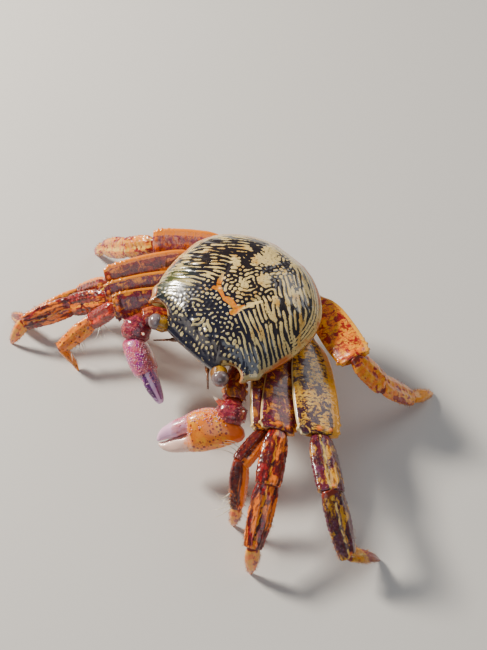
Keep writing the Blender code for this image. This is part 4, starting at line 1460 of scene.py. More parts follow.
@dataclass
class Leg:
    """One walking leg: base, merus, carpus, propodus and dactyl."""

    side: Side
    number: int
    to_world: Matrix
    shift: Vector
    paint: LegPaint

    DACTYL_STUBBLE, PROPODUS_STUBBLE = 170, 60
    # Count, and the share of the plate where they begin.
    SETAE = {Plate.CARPUS: (4, 0.6), Plate.PROPODUS: (8, 0.25)}

    def joints(self) -> list[Vector]:
        """Hip, knee, ends of carpus and propodus, and tip, in the standing frame."""
        h1, l1, h2, l2, h3, ankle, h4, _ = STANCE[self.side, self.number]
        lengths = [f * CARAPACE_WIDTH for f in LEG_LENGTHS[self.number]]
        x, y, z = HIPS[self.side, self.number]
        points = [body_matrix() @ Vector((self.side.sign * x, y, z))]
        points.append(points[-1] + heading(self.side, h1, l1) * lengths[0])
        points.append(points[-1] + heading(self.side, h2, l2) * lengths[1])
        for turn, level, length in ((h3, ankle * MM, lengths[2]), (h4, FOOT_LIFT, lengths[3])):
            drop = max(-0.999, min(0.999, (level - points[-1].z) / length))
            points.append(points[-1] + heading(self.side, turn, math.degrees(math.asin(drop))) * length)
        return [p + self.shift for p in points]

    @staticmethod
    def rows(plate: Plate, length: float, wide: float, thick: float) -> list[LoftRow]:
        """Outline of a plate; every plate starts with a neck that sits in its neighbour."""
        if plate is Plate.MERUS:
            neck, depth = min(1.7 * MM, 0.50 * wide), min(1.1 * MM, 0.43 * thick)
            return [LoftRow(-0.9 * MM, neck, depth), LoftRow(0.9 * MM, neck * 1.25, depth * 1.3),
                    *loft(length, wide, thick, (0.14, 0, 0.66, 0.90), (0.36, 0, 0.94, 1), (0.62, 0, 1, 1),
                          (0.88, 0, 0.95, 0.98), (1, -0.1, 0.80, 0.94))]
        if plate is Plate.CARPUS:
            return loft(length, wide, thick, (0, -1.3, 0.50, 0.50), (0, 0.1, 0.66, 0.66),
                        (0.14, 0, 0.86, 0.94), (0.50, 0, 1, 1), (0.86, 0, 0.99, 1), (1, -0.1, 0.90, 0.94))
        if plate is Plate.PROPODUS:
            return loft(length, wide, thick, (0, -1.3, 0.72, 0.70), (0, 0.1, 0.88, 0.86),
                        (0.14, 0, 0.96, 0.98), (0.42, 0, 1, 1), (0.80, 0, 0.84, 0.95), (1, -0.1, 0.68, 0.9))
        bow = 0.06 * length
        return [LoftRow(-0.9 * MM, 0.62 * wide, 0.6 * thick),
                LoftRow(0.8 * MM, 0.94 * wide, 0.97 * thick, 0.0, 0.3 * bow),
                LoftRow(0.30 * length, wide, thick, 0.0, 0.8 * bow),
                LoftRow(0.62 * length, 0.72 * wide, 0.80 * thick, 0.0, bow),
                LoftRow(0.88 * length, 0.42 * wide, 0.52 * thick, 0.0, 0.5 * bow),
                LoftRow(length, 0.45 * MM, 0.40 * MM)]

    @staticmethod
    def merus_relief(info: dict[str, Array]) -> Array:
        """Cross ribs on the broad face, crests on both edges, teeth at the far rear corner."""
        front, top, at, along = info["front"], info["v"], info["at"] / MM, info["along"]
        uneven = Ripple(5, 5.0 * MM)(info["points"])
        ribs = np.maximum(0.0, np.sin(at * 3.7 + 1.6 * front + 1.5 * uneven)) ** 3
        face = ramp(0.15, 0.6, np.abs(top)) * ramp(0.06, 0.18, along)
        height = 0.085 * ribs * face * ramp(-0.3, 0.3, Ripple(8, 3.0 * MM)(info["points"]) + 0.3)
        height += 0.30 * bell(np.abs(front) - 1.0, 0.10) * ramp(0.08, 0.2, along)
        teeth = np.maximum(0.0, np.sin(along * 2.0 * math.pi / 0.062 + uneven)) ** 1.7
        growing = ramp(0.68, 0.97, along) * ramp(1.0, 0.988, along)
        height += 0.55 * teeth * bell(front + 1.0, 0.09) * bell(top, 0.5) * growing
        height += 0.9 * bell(along - 0.95, 0.016) * bell(front - 1.0, 0.09) * bell(top, 0.5)
        knob, small_knob = boss(info, 1.3, 1.1, 0.10, 1.3), boss(info, 1.2, 0.8, -0.50, 0.9)
        height += 0.55 * knob + 0.35 * small_knob
        info["knob"] = ramp(0.45, 0.7, np.maximum(knob, small_knob))
        return height * MM

    @staticmethod
    def shank_relief(info: dict[str, Array]) -> Array:
        """Lengthwise keels and furrows of carpus and propodus, with low scales."""
        front, top, along = info["front"], info["v"], info["along"]
        on_top = ramp(0.1, 0.5, np.abs(top)) * ramp(0.05, 0.2, along)
        height = 0.22 * (bell(front - 0.38, 0.14) + bell(front + 0.42, 0.14)) * on_top
        height -= 0.16 * bell(front, 0.16) * on_top
        height += 0.16 * bell(np.abs(front) - 1.0, 0.08) * ramp(0.05, 0.2, along)
        bumps = np.maximum(0.0, np.sin(info["at"] / MM * 4.4 + 2.0 * np.sign(front)))
        height += 0.10 * bumps * bell(np.abs(front) - 0.98, 0.10) * ramp(0.1, 0.25, along)
        height += 0.035 * Ripple(12, 1.3 * MM)(info["points"])
        knob = boss(info, 1.0, 0.8, 0.0, 0.9)
        height += 0.30 * knob
        info["knob"] = 0.8 * ramp(0.5, 0.75, knob)
        return height * MM

    @staticmethod
    def dactyl_relief(info: dict[str, Array]) -> Array:
        """Six ribs of the dactyl."""
        ribs = np.cos(3.0 * info["turn"]) ** 2
        return 0.13 * MM * (ribs - 0.4) * ramp(0.05, 0.2, info["along"]) * ramp(1.0, 0.8, info["along"])

    def plates(self) -> list[tuple[Plate, Limb]]:
        """Limbs of the four plates."""
        points = self.joints()
        roll = STANCE[self.side, self.number][7] * -self.side.sign
        made = []
        for k, plate in enumerate(Plate):
            wide, thick = LEG_WIDTHS[self.number][k] * MM, LEG_HALF_THICKNESS[k] * MM
            length = (points[k + 1] - points[k]).length
            limb = Limb(points[k], points[k + 1], self.rows(plate, length, wide, thick), roll,
                        front_sign=self.side.sign)
            limb.relief = {Plate.MERUS: self.merus_relief, Plate.DACTYL: self.dactyl_relief}.get(
                plate, self.shank_relief)
            if plate is Plate.DACTYL:
                limb.tail, limb.floor = ((0.18, 0.75), (0.28, 0.35)), 0.0
                limb.columns, limb.spacing = 48, 0.22 * MM
            made.append((plate, limb))
        return made

    def base(self) -> Limb:
        """Short segments that carry the leg from the sternum."""
        root = coxa_root(self.side, self.number, self.to_world)
        end = self.joints()[0]
        length, size = (end - root).length, (2.35 if self.number < 5 else 2.1) * MM
        rows = loft(length, size, size, (0, -0.5, 0.62, 0.62), (0.14, 0, 1, 1), (0.55, 0, 1.06, 1.04),
                    (0.85, 0, 1, 1), (1, -0.2, 0.8, 0.8))
        return Limb(root, end, rows, power=2.2, columns=48, front_sign=self.side.sign,
                    relief=self.base_relief)

    @staticmethod
    def base_relief(info: dict[str, Array]) -> Array:
        """Furrows between the short segments of the base."""
        along = info["along"]
        return (-0.35 * bell(along - 0.42, 0.035) - 0.25 * bell(along - 0.66, 0.03)
                + 0.05 * Ripple(21, 1.6 * MM)(info["points"])) * MM

    def sow(self, plate: Plate, limb: Limb, coat: Coat) -> None:
        """Sets the roots of the bristles of one plate.

        Args:
            plate: The plate.
            limb: Its limb, already built.
            coat: Bristles of the whole animal.
        """
        skin, axis = limb.made, limb.frame()[0]
        front, top, along = (skin.channels[key] for key in ("front", "top", "along"))
        edge = ramp(0.80, 0.97, np.abs(front)) * bell(top, 0.6)
        if plate is Plate.DACTYL:
            weight = (0.15 + edge) * ramp(0.05, 0.2, along) * ramp(1.0, 0.9, along)
            coat.stubble.sow(skin, weight, self.DACTYL_STUBBLE, axis * 0.9)
        elif plate is Plate.PROPODUS:
            weight = edge * ramp(0.30, 0.95, along) * ramp(1.0, 0.97, along)
            coat.stubble.sow(skin, weight, self.PROPODUS_STUBBLE, axis * 0.8, size=(0.6, 1.5))
        if self.number == 2 and plate in self.SETAE:
            count, begin = self.SETAE[plate]
            weight = ramp(0.85, 0.98, front) * bell(top + 0.1, 0.4)
            weight = weight * ramp(begin, 0.7, along) * ramp(1.0, 0.95, along)
            coat.setae.sow(skin, weight, count, axis * 0.15 + Vector((0, 0, 0.1)), 0.10, (0.75, 1.1))

    def build(self, base_material: bpy.types.Material, coat: Coat) -> None:
        """Makes the five pieces of the leg.

        Args:
            base_material: Finish of the base.
            coat: Bristles of the whole animal.
        """
        name = "leg%d_%%s_%s" % (self.number, self.side.value)
        placed(self.base().build(name % "base" + "_shell", base_material), "underside_shell", name % "base")
        for plate, limb in self.plates():
            slot = "leg_tip_shell" if plate is Plate.DACTYL else "leg_shell"
            node = name % plate.value
            placed(limb.build(node + "_shell", self.paint.of(plate).build()), slot, node)
            self.sow(plate, limb, coat)


# ---- underside ----------------------------------------------------------------------------------
@dataclass
class Underside:
    """Sternum with its plates, and the narrow abdomen folded under it."""

    to_world: Matrix

    @staticmethod
    def half_width(y: float) -> float:
        """Half width of the sternum."""
        return STERNUM_HALF_WIDTH * (1.0 - abs((y - STERNUM_Y) / STERNUM_HALF_LENGTH) ** 2.5) ** 0.4

    def sternum(self, material: bpy.types.Material) -> None:
        """Breast plate with the seams between its segments."""
        at = np.linspace(0.0, 1.0, 60)
        heights = eased((0, 0.3, 0.8, 1.0), (-0.118, -0.165, -0.235, -0.272), at)
        scales = eased((0, 0.3, 0.8, 1.0), (0.84, 1.0, 0.97, 0.80), at)
        heights = np.append(heights, [-0.276, -0.278, -0.279])
        scales = np.append(scales, [0.70, 0.45, 0.18])
        u, v = rounded_ring(160, 2.5)
        x, y = STERNUM_HALF_WIDTH * u, STERNUM_HALF_LENGTH * v
        body = np.stack([scales[:, None] * x, STERNUM_Y + scales[:, None] * y,
                         heights[:, None] * np.ones_like(x)], axis=-1)
        skin = Skin(standing(self.to_world, body), {})
        seams = sum(bell(body[..., 1] - s, 0.008) for s in (-0.15, -0.04, 0.07, 0.18))
        skin.lift((-0.008 * np.clip(seams, 0, 1) + 0.002 * Ripple(31, 0.06)(body)) * CARAPACE_WIDTH)
        placed(skin.build("sternum_shell", material), "underside_shell", "sternum")

    def abdomen(self, material: bpy.types.Material) -> None:
        """Seven-ringed abdomen."""
        rows = ((-0.17, -0.295, 0.030, 0.010), (-0.10, -0.296, 0.050, 0.013), (0.10, -0.298, 0.085, 0.014),
                (0.24, -0.298, 0.105, 0.014), (0.33, -0.280, 0.115, 0.014), (0.375, -0.225, 0.125, 0.014),
                (0.398, -0.160, 0.135, 0.014), (0.410, -0.105, 0.140, 0.012))
        table = np.array(rows)
        lengths = np.concatenate([[0], np.cumsum(np.hypot(*np.diff(table[:, :2], axis=0).T))])
        at = np.linspace(0.0, lengths[-1], 150)
        y, z, wide, thick = (eased(lengths, table[:, k], at) for k in range(4))
        ahead = np.stack([np.gradient(y), np.gradient(z)], axis=1)
        ahead /= np.linalg.norm(ahead, axis=1, keepdims=True)
        u, v = rounded_ring(72, 3.0)
        body = np.stack([wide[:, None] * u, y[:, None] - ahead[:, 1:] * thick[:, None] * v,
                         z[:, None] + ahead[:, :1] * thick[:, None] * v], axis=-1)
        skin = Skin(standing(self.to_world, body), {})
        seams = sum(bell(at - lengths[-1] * s, 0.006) for s in (0.14, 0.28, 0.42, 0.56, 0.69, 0.81, 0.91))
        skin.lift((-0.006 * seams[:, None] + 0.0015 * Ripple(33, 0.05)(body)) * CARAPACE_WIDTH)
        placed(skin.build("abdomen_shell", material), "underside_shell", "abdomen")


def coxa_root(side: Side, number: int, to_world: Matrix) -> Vector:
    """Where a limb leaves the sternum, in the standing frame; the arm is number 1."""
    y = COXA_Y[number]
    return to_world @ Vector((side.sign * (Underside.half_width(y) + COXA_OUT), y, COXA_Z))


# ---- claws --------------------------------------------------------------------------------------
@dataclass
class Claw:
    """One claw: merus, carpus, palm with the fixed finger, and the movable finger."""

    side: Side
    to_world: Matrix

    GRAINS = {"Radius": 0.21 * MM, "Gap": 0.44 * MM, "Density": 5.0e6, "Seed": 5}
    # Direction, reach from the middle of the wrist and half width at the root, millimetres.
    SPINES = {Side.LEFT: (((-0.76, -0.23, 0.62), 7.4, 1.25), ((0.72, 0.30, 0.62), 5.2, 0.8)),
              Side.RIGHT: (((0.88, -0.18, 0.44), 5.6, 1.25), ((-0.80, -0.30, 0.40), 5.6, 0.8))}
    SPINE_ROOT = 3.2

    def points(self) -> tuple[Vector, Vector, Vector, Vector]:
        """Root, elbow, wrist and tip in the standing frame."""
        root = coxa_root(self.side, 1, self.to_world)
        elbow, wrist, tip = (self.to_world @ Vector(p) for p in CLAWS[self.side][:3])
        return root, elbow, wrist, tip

    def limbs(self) -> dict[str, Limb]:
        """Limbs of the four plates by name."""
        root, elbow, wrist, tip = self.points()
        length = (elbow - root).length
        merus = Limb(root, elbow, loft(
            length, MM, MM, (0, -0.5, 1.7, 1.7), (0, 2.0, 2.5, 2.5), (0.32, 0, 2.6, 2.5), (0.62, 0, 3.2, 2.8),
            (0.88, 0, 3.5, 3.0), (1, -0.1, 2.9, 2.6)), power=2.2, relief=self.arm_relief)
        length = (wrist - elbow).length
        carpus = Limb(elbow, wrist, loft(
            length, MM, MM, (0, -1.0, 1.5, 1.4), (0, 0.9, 2.9, 2.8), (0.35, 0, 4.4, 4.2), (0.70, 0, 4.6, 4.3),
            (1, -0.1, 3.4, 3.2)), power=2.2, relief=self.wrist_relief)
        length, tall, thick = (tip - wrist).length, PALM_HALF_HEIGHT, PALM_HALF_THICKNESS
        turned = dict(roll=90.0, hint=CLAWS[self.side][3], power=2.3, columns=110, spacing=0.16 * MM,
                      front_sign=-1.0, tail=((0.12, 0.6), (0.16, 0.25)))
        heel = 1.0 if self.side is Side.LEFT else 0.45
        palm = Limb(wrist, tip, loft(
            length, tall, thick, (0, -3.4 * heel, 0.20, 0.26, 0.62 * heel),
            (0, -2.4 * heel, 0.44, 0.50, 0.50 * heel), (0, 0.4, 0.78, 0.80, 0.22 * heel),
            (0.15, 0, 0.95, 0.94, 0.06 * heel), (0.32, 0, 1.02, 1), (FINGER_START, 0, 0.94, 0.92),
            (FINGER_START, 1.6, 0.50, 0.70, 0.40), (0.80, 0, 0.36, 0.52, 0.36),
            (0.95, 0, 0.24, 0.36, 0.25), (1, 0, 0.12, 0.20, 0.14)), relief=self.palm_relief, **turned)
        finger = Limb(wrist, tip, loft(length, tall, thick, (FINGER_START, -1.4, 0.16, 0.34, -0.44),
                                       (FINGER_START, 0.6, 0.40, 0.60, -0.50), (0.68, 0, 0.40, 0.60, -0.44),
                                       (0.84, 0, 0.32, 0.46, -0.36), (0.95, 0, 0.22, 0.34, -0.25),
                                       (1, 0, 0.11, 0.20, -0.14)), relief=self.finger_relief, **turned)
        return {"merus": merus, "carpus": carpus, "palm": palm, "finger": finger}

    @staticmethod
    def arm_relief(info: dict[str, Array]) -> Array:
        """Cross ribs and edge teeth of the claw's merus."""
        ribs = np.maximum(0.0, np.sin(info["at"] / MM * 4.2 + 2.0 * Ripple(41, 4 * MM)(info["points"]))) ** 3
        teeth = np.maximum(0.0, np.sin(info["at"] / MM * 2.6)) ** 4 * bell(np.abs(info["u"]) - 1.0, 0.15)
        return (0.10 * ribs * ramp(0.1, 0.3, info["along"]) + 0.5 * teeth
                * ramp(0.4, 0.6, info["along"])) * MM

    @staticmethod
    def wrist_relief(info: dict[str, Array]) -> Array:
        """Faintly ribbed wrist with sparse grains."""
        ribs = np.maximum(0.0, np.sin(info["at"] / MM * 4.4 + 1.6 * Ripple(43, 4 * MM)(info["points"]))) ** 2
        info["grain"] = 0.20 * ramp(0.15, 0.4, info["along"]) * ramp(1.0, 0.9, info["along"])
        fade = ramp(0.1, 0.3, info["along"])
        return (0.10 * ribs + 0.05 * Ripple(44, 2.5 * MM)(info["points"])) * fade * MM

    @staticmethod
    def palm_relief(info: dict[str, Array]) -> Array:
        """Smooth palm with a granular upper edge, and spooned fingers."""
        along, upper = info["along"], -info["u"]
        border = upper + 0.15 * Ripple(50, 3 * MM)(info["points"])
        info["grain"] = ramp(0.25, 0.75, border) * ramp(0.62, 0.50, along) * ramp(0.0, 0.08, along)
        keel = bell(upper + 0.62, 0.08) * ramp(0.05, 0.25, along) * ramp(0.55, 0.45, along)
        spoon = bell(along - 0.93, 0.06) * ramp(0.2, 0.8, upper)
        return (0.09 * keel - 0.25 * spoon + 0.04 * Ripple(46, 4 * MM)(info["points"])) * MM

    @staticmethod
    def finger_relief(info: dict[str, Array]) -> Array:
        """Movable finger with grains at its root and blunt teeth on its biting edge."""
        along, biting = info["along"], info["u"]
        info["grain"] = 0.8 * ramp(0.74, 0.60, along) * ramp(-0.2, -0.6, biting)
        teeth = np.maximum(0.0, np.sin(along * 2.0 * math.pi / 0.055)) ** 2
        teeth = teeth * ramp(0.75, 0.95, biting) * ramp(0.92, 0.85, along)
        return (0.10 * teeth + 0.03 * Ripple(48, 3 * MM)(info["points"])) * MM

    def finishes(self) -> dict[str, LimbFinish]:
        """Finishes of the four plates."""
        wrist = LimbFinish("left_wrist", tone(118, 44, 52), tone(170, 84, 84), tone(66, 20, 34),
                           second=tone(140, 62, 74), stripe_share=0.5, patch_cover=0.30, bars=0.5)
        if self.side is Side.LEFT:
            return {"merus": LimbFinish("left_arm", tone(116, 42, 48), tone(200, 128, 76), tone(60, 20, 34)),
                    "carpus": wrist,
                    "palm": LimbFinish("left_palm", tone(232, 150, 66), tone(226, 138, 78), tone(170, 70, 50),
                                       second=tone(238, 172, 92), stripe_share=0.0, dot_share=0.9,
                                       dot=tone(120, 22, 22), speck=0.1, under=0.0,
                                       neck=tone(206, 116, 60), tip=tone(240, 208, 196),
                                       tip_start=0.60, tip_soft=0.10),
                    "finger": LimbFinish("left_finger", tone(196, 96, 112), tone(224, 140, 150),
                                         tone(150, 84, 150), second=tone(214, 150, 190), stripe_share=0.4,
                                         belly=tone(240, 204, 200), tip=tone(232, 190, 214), tip_start=0.72)}
        return {"merus": LimbFinish("right_arm", tone(112, 38, 46), tone(190, 110, 80), tone(60, 20, 34)),
                "carpus": replace(wrist, name="right_wrist", ground=tone(116, 44, 62)),
                "palm": LimbFinish("right_palm", tone(182, 88, 120), tone(150, 66, 130), tone(110, 46, 100),
                                   second=tone(206, 128, 128), stripe_share=0.3, patch_cover=0.4,
                                   patch_scale=0.5, rear_width=0.35, rear=tone(226, 176, 128),
                                   pale_width=0.22, pale_at=0.0, pale=tone(224, 160, 104),
                                   belly=tone(226, 176, 140), neck=tone(150, 62, 92),
                                   tip=tone(222, 196, 214), tip_start=0.64, tip_soft=0.10),
                "finger": LimbFinish("right_finger", tone(72, 26, 74), tone(108, 54, 118), tone(46, 18, 58),
                                     second=tone(96, 42, 100), stripe_share=0.2, speck=0.6,
                                     pale=tone(220, 190, 216), belly=tone(214, 184, 214),
                                     tip=tone(200, 168, 206), tip_start=0.93, edge_width=0.10,
                                     edge=tone(214, 184, 214))}

    def grains(self, kind: str, limb: Limb, material: bpy.types.Material) -> None:
        """Grains of one plate.

        Args:
            kind: Name of the plate.
            limb: Its limb, already built.
            material: Finish of the grains.
        """
        name = "claw_%s_%s_grains" % (kind, self.side.value)
        source = limb.made.build(name + "_ground")
        piece = FieldTrees.run(FieldTrees.GRAINS, source, name, {**self.GRAINS, "Material": material})
        placed(piece, "claw_shell")

    def spines(self, material: bpy.types.Material) -> None:
        """Long spine on the inner side of the wrist and a short one outside."""
        _, elbow, wrist, _ = self.points()
        middle = (elbow + wrist) / 2.0
        for number, (way, reach, base) in enumerate(self.SPINES[self.side]):
            way = Vector(way).normalized()
            root, tip = middle + way * self.SPINE_ROOT * MM, middle + way * reach * MM
            length = (tip - root).length
            spine = Limb(root, tip, loft(length, MM, MM, (0, -0.6, base * 1.2, base * 1.2),
                                         (0.3, 0, 0.75 * base, 0.75 * base),
                                         (0.75, 0, 0.36 * base, 0.36 * base), (1, 0, 0.08, 0.08)), power=2.0,
                         columns=28, spacing=0.12 * MM, tail=())
            placed(spine.build("wrist_spine_%s_%d" % (self.side.value, number), material), "claw_shell")

    def build(self, finishes: dict[str, bpy.types.Material]) -> None:
        """Makes the four plates, their grains and the spines of the wrist.

        Args:
            finishes: Finishes of small parts.
        """
        paints = self.finishes()
        for kind, limb in self.limbs().items():
            node = "claw_%s_%s" % (kind, self.side.value)
            placed(limb.build(node + "_shell", paints[kind].build()), "claw_shell", node)
            if "grain" in limb.made.channels:
                self.grains(kind, limb, finishes["wrist_grain" if kind == "carpus" else "grain"])
        self.spines(finishes["spine"])


# ---- head ---------------------------------------------------------------------------------------
@dataclass
class Head:
    """Eyes, antennae and mouth plates of one side."""

    side: Side
    to_world: Matrix

    HAIRS = 130

    def at(self, x: float, y: float, z: float) -> Vector:
        """Body position on this side, in the standing frame."""
        return self.to_world @ Vector((self.side.sign * x, y, z))

    def build(self, finishes: dict[str, bpy.types.Material], coat: Coat) -> None:
        """Makes the pieces of this side.

        Args:
            finishes: Finishes of small parts.
            coat: Bristles of the whole animal.
        """
        name = self.side.value
        inner, outer = self.at(*EYE_ROOT), self.at(*EYE_END)
        axis = (outer - inner).normalized()
        length = (outer - inner).length
        stalk = Limb(inner, outer, loft(length, MM, MM, (0, -0.6, 1.5, 1.4), (0.35, 0, 2.1, 2.0),
                                        (0.75, 0, 2.6, 2.5), (1, 1.5, 2.5, 2.35)), power=2.1, columns=64,
                     spacing=0.12 * MM, tail=())
        placed(stalk.build("eye_stalk_%s_shell" % name, finishes["stalk"]),
               "eyestalk_shell", "eye_stalk_" + name)
        centre = outer + axis * CORNEA_OUT
        rows = [LoftRow(-2.4 * MM * math.cos(t), 2.6 * MM * math.sin(t) + 1e-6,
                        2.45 * MM * math.sin(t) + 1e-6)
                for t in np.linspace(0.05, math.pi - 0.05, 24)]
        cornea = Limb(centre, centre + axis * 2.2 * MM, rows, power=2.0, columns=64, spacing=0.08 * MM,
                      tail=())
        placed(cornea.build("eye_%s_cornea" % name, finishes["cornea"]), "cornea", "eye_" + name)
        root, tip = self.at(0.125, -0.425, -0.115), self.at(0.235, -0.530, -0.125)
        length = (tip - root).length
        feeler = Limb(root, tip, loft(length, MM, MM, (0, 0, 0.8, 0.7), (0.25, 0, 0.65, 0.6),
                                      (0.35, 0, 0.42, 0.40), (1, 0, 0.27, 0.27)), power=2.0, columns=24,
                      spacing=0.07 * MM, tail=((0.1, 0.5),), relief=self.ring_relief)
        placed(feeler.build("antenna_%s_shell" % name, finishes["feeler"]),
               "eyestalk_shell", "antenna_" + name)
        foot, head = self.at(0.085, -0.315, -0.262), self.at(0.085, -0.415, -0.140)
        length = (head - foot).length
        jaw = Limb(foot, head, loft(length, MM, MM, (0, 0, 2.6, 0.8), (0.3, 0, 3.4, 1.1), (0.8, 0, 3.5, 1.1),
                                    (1, 0, 2.8, 0.8)), power=3.0, spacing=0.2 * MM,
                   tail=((0.1, 0.8), (0.12, 0.4)), relief=self.jaw_relief)
        placed(jaw.build("maxilliped_%s_shell" % name, finishes["jaw"]),
               "underside_shell", "maxilliped_" + name)
        front, along = jaw.made.channels["front"], jaw.made.channels["along"]
        coat.hairs.sow(jaw.made, ramp(0.7, 0.95, np.abs(front)) + ramp(0.9, 1.0, along), self.HAIRS,
                       Vector((0, -0.5, 0)))

    @staticmethod
    def ring_relief(info: dict[str, Array]) -> Array:
        """Rings of the whip of the antenna."""
        return 0.05 * MM * np.sin(info["at"] / MM * 14.0) * ramp(0.3, 0.4, info["along"])

    @staticmethod
    def jaw_relief(info: dict[str, Array]) -> Array:
        """Seam and long furrow of a mouth plate."""
        return (-0.3 * bell(info["along"] - 0.55, 0.03)
                - 0.2 * bell(info["u"] - 0.1, 0.12) * np.abs(info["v"])) * MM


# ---- studio -------------------------------------------------------------------------------------
@dataclass
class Studio:
    """Pale floor, soft lights and the camera."""

    body: Vector
    azimuth: float = 43.65
    elevation: float = 53.1
    distance: float = 220.0 * MM
    scale: float = 3.248 / MM
    frame: tuple[int, int] = (487, 650)
    aim: tuple[float, float] = (241.0, 299.3)

    def camera(self) -> None:
        """Camera at the viewing angle, turned so that the body stands a little above the middle."""
        a, e = math.radians(self.azimuth), math.radians(self.elevation)
        back = Vector((math.sin(a) * math.cos(e), -math.cos(a) * math.cos(e), math.sin(e)))
        right = Vector((math.cos(a), math.sin(a), 0.0))
        up = back.cross(right)
        focal = self.scale * self.distance
        off_x, off_y = self.aim[0] - self.frame[0] / 2, self.frame[1] / 2 - self.aim[1]
        local = Vector((off_x, off_y, -focal)).normalized()
        to_point = Vector((0.0, 0.0, -1.0)).rotation_difference(local).to_matrix()
        basis = Matrix((right, up, back)).transposed() @ to_point.inverted()
        data = bpy.data.cameras.new("camera")
        data.sensor_width = 36.0
        data.lens = focal / max(self.frame) * data.sensor_width
        data.clip_start, data.clip_end = 0.01, 20.0
        camera = linked("camera", data)
        camera.matrix_world = Matrix.Translation(self.body + back * self.distance) @ basis.to_4x4()
        bpy.context.scene.camera = camera

    def light(self, name: str, place: Sequence[float], size: float, power: float, colour: Colour) -> None:
        """One square soft light that faces the body."""
        data = bpy.data.lights.new(name, "AREA")
        data.shape, data.size, data.energy, data.color = "SQUARE", size, power, colour
        lamp = linked(name, data)
        lamp.location = self.body + Vector(place)
        lamp.rotation_mode = "QUATERNION"
        lamp.rotation_quaternion = Vector(place).to_track_quat("Z", "Y")

    def floor(self) -> None:
        """Pale floor, large enough to fill every view."""
        half = 3.0
        mesh = bpy.data.meshes.new("floor")
        mesh.from_pydata([(-half, -half, 0.0), (half, -half, 0.0), (half, half, 0.0), (-half, half, 0.0)],
                         [], [(0, 1, 2, 3)])
        floor = linked("floor", mesh)
        material, n = new_material("pale_floor")
        shader = n.add("ShaderNodeBsdfPrincipled", {"Base Color": (0.62, 0.60, 0.57, 1.0), "Roughness": 0.75})
        n.add("ShaderNodeOutputMaterial", {"Surface": shader.outputs[0]})
        mesh.materials.append(material)
        floor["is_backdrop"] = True

    def build(self) -> None:
        """Makes the whole studio."""
        self.camera()
        self.floor()
        self.light("key", (-0.62, -0.16, 0.44), 0.14, 13.0, (1.0, 0.93, 0.82))
        self.light("fill", (0.45, -0.50, 0.60), 0.60, 1.5, (0.86, 0.93, 1.0))
        self.light("back", (0.10, 0.70, 0.50), 0.50, 1.6, (1.0, 0.98, 0.95))
        world = bpy.data.worlds.new("studio")
        world.use_nodes = True
        world.node_tree.nodes["Background"].inputs[0].default_value = (0.90, 0.93, 1.0, 1.0)
        world.node_tree.nodes["Background"].inputs[1].default_value = 0.20
        bpy.context.scene.world = world


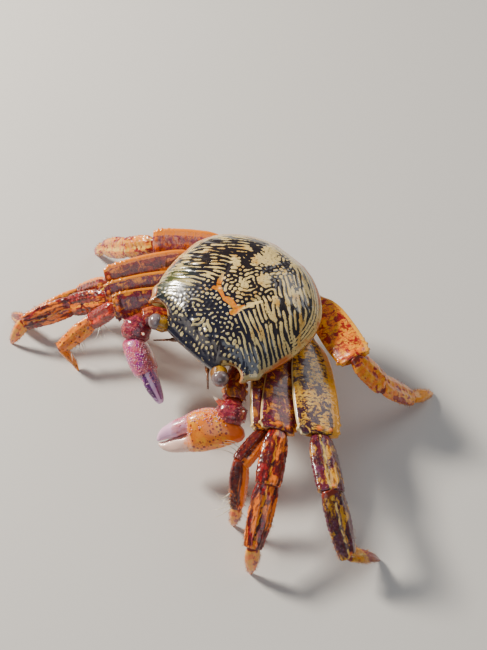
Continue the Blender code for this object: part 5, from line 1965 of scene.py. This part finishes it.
# ---- assembly -----------------------------------------------------------------------------------
def small_finishes() -> dict[str, bpy.types.Material]:
    """Finishes of the small parts of the head and of the underside."""
    made = {}
    stalk = LimbFinish("eyestalk", tone(120, 84, 36), tone(176, 136, 66), tone(60, 40, 24), stripe_share=0.3,
                       neck=tone(90, 60, 40), belly=tone(190, 160, 110))
    made["stalk"] = stalk.build()
    # The antennae are darkened to sink into the shade under the front: partly their own brown, partly painted
    # shade.
    made["feeler"] = replace(stalk, name="feeler", ground=tone(70, 40, 30), patch=tone(110, 70, 48)).build()
    made["spine"] = LimbFinish("wrist_spine", tone(196, 84, 78), tone(214, 116, 96), tone(150, 60, 60),
                               stripe_share=0.1, tip=tone(240, 222, 206), tip_start=0.72).build()
    for name, one, two, bump in (("grain", tone(214, 128, 140), tone(232, 196, 206), 0.2),
                                 ("wrist_grain", tone(150, 66, 76), tone(196, 116, 116), 0.2),
                                 ("stubble", tone(120, 62, 24), tone(206, 150, 76), 0.0),
                                 ("setae", tone(226, 214, 188, 1.0), tone(238, 232, 216, 1.0), 0.0)):
        material, n = new_material(name)
        shade = n.span(n.noise(n.place(), 900.0, 2.0), 0.42, 0.58)
        Sheen(shine=0.30, coat=0.4, bump=bump).close(n, n.mix(shade, one, two))
        made[name] = material
    made["jaw"] = replace(stalk, name="jaw", ground=tone(206, 158, 104), patch=tone(150, 84, 70),
                          belly=tone(206, 158, 104)).build()
    made["base"] = replace(stalk, name="leg_base", ground=tone(216, 142, 84), patch=tone(228, 172, 116),
                           stripe=tone(150, 70, 50), belly=tone(226, 184, 138)).build()
    material, n = new_material("cornea")
    where = n.place()
    cells = n.add("ShaderNodeTexVoronoi", {"Vector": where, "Scale": 5200.0})
    cloud = n.span(n.noise(where, 420.0), 0.35, 0.7)
    colour = n.mix(cloud, tone(112, 92, 92, 1.0), tone(158, 142, 148, 1.0))
    colour = n.layer(n.span(cells.outputs["Distance"], 0.2, 0.6), 0.3, colour, tone(64, 46, 36))
    Sheen(shine=0.12, coat=1.0, coat_roughness=0.03, bump=0.10, grain=3000.0).close(n, colour)
    made["cornea"] = material
    material, n = new_material("underside")
    where = n.place()
    patch = n.group(SharedEffects.BLOTCH, {"Place": where, "Scale": 330.0, "Cover": 0.4}).outputs[0]
    colour = n.layer(patch, 0.5, tone(230, 208, 176), tone(214, 156, 112))
    Sheen(shine=0.34, coat=0.3).close(n, colour)
    made["under"] = material
    return made


def main() -> None:
    """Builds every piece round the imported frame."""
    logging.basicConfig(level=logging.INFO, format="%(name)s %(message)s")
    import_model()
    cad_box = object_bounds()
    body = body_matrix()
    inner, outer = body @ Vector(EYE_ROOT), body @ Vector(EYE_END)
    cornea = outer + (outer - inner).normalized() * CORNEA_OUT
    low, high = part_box("eye_left")
    shift = (low + high) / 2.0 - cornea
    shift.z = 0.0
    to_world = Matrix.Translation(shift) @ body
    LOG.info("shift %s", tuple(shift))
    Studio(to_world.translation.copy()).build()
    SharedEffects().build()
    FieldTrees().build()
    finishes, coat = small_finishes(), Coat()
    Carapace(to_world).build(BackPattern())
    under = Underside(to_world)
    under.sternum(finishes["under"])
    under.abdomen(finishes["under"])
    paints = leg_paints()
    for side in Side:
        Head(side, to_world).build(finishes, coat)
        Claw(side, to_world).build(finishes)
        for number in (2, 3, 4, 5):
            Leg(side, number, to_world, shift, paints[side, number]).build(finishes["base"], coat)
    coat.build(finishes)
    bpy.context.view_layer.update()
    seen_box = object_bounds()
    [[list(corner) for corner in box] for box in (cad_box, seen_box)]


if __name__ == "__main__":
    main()
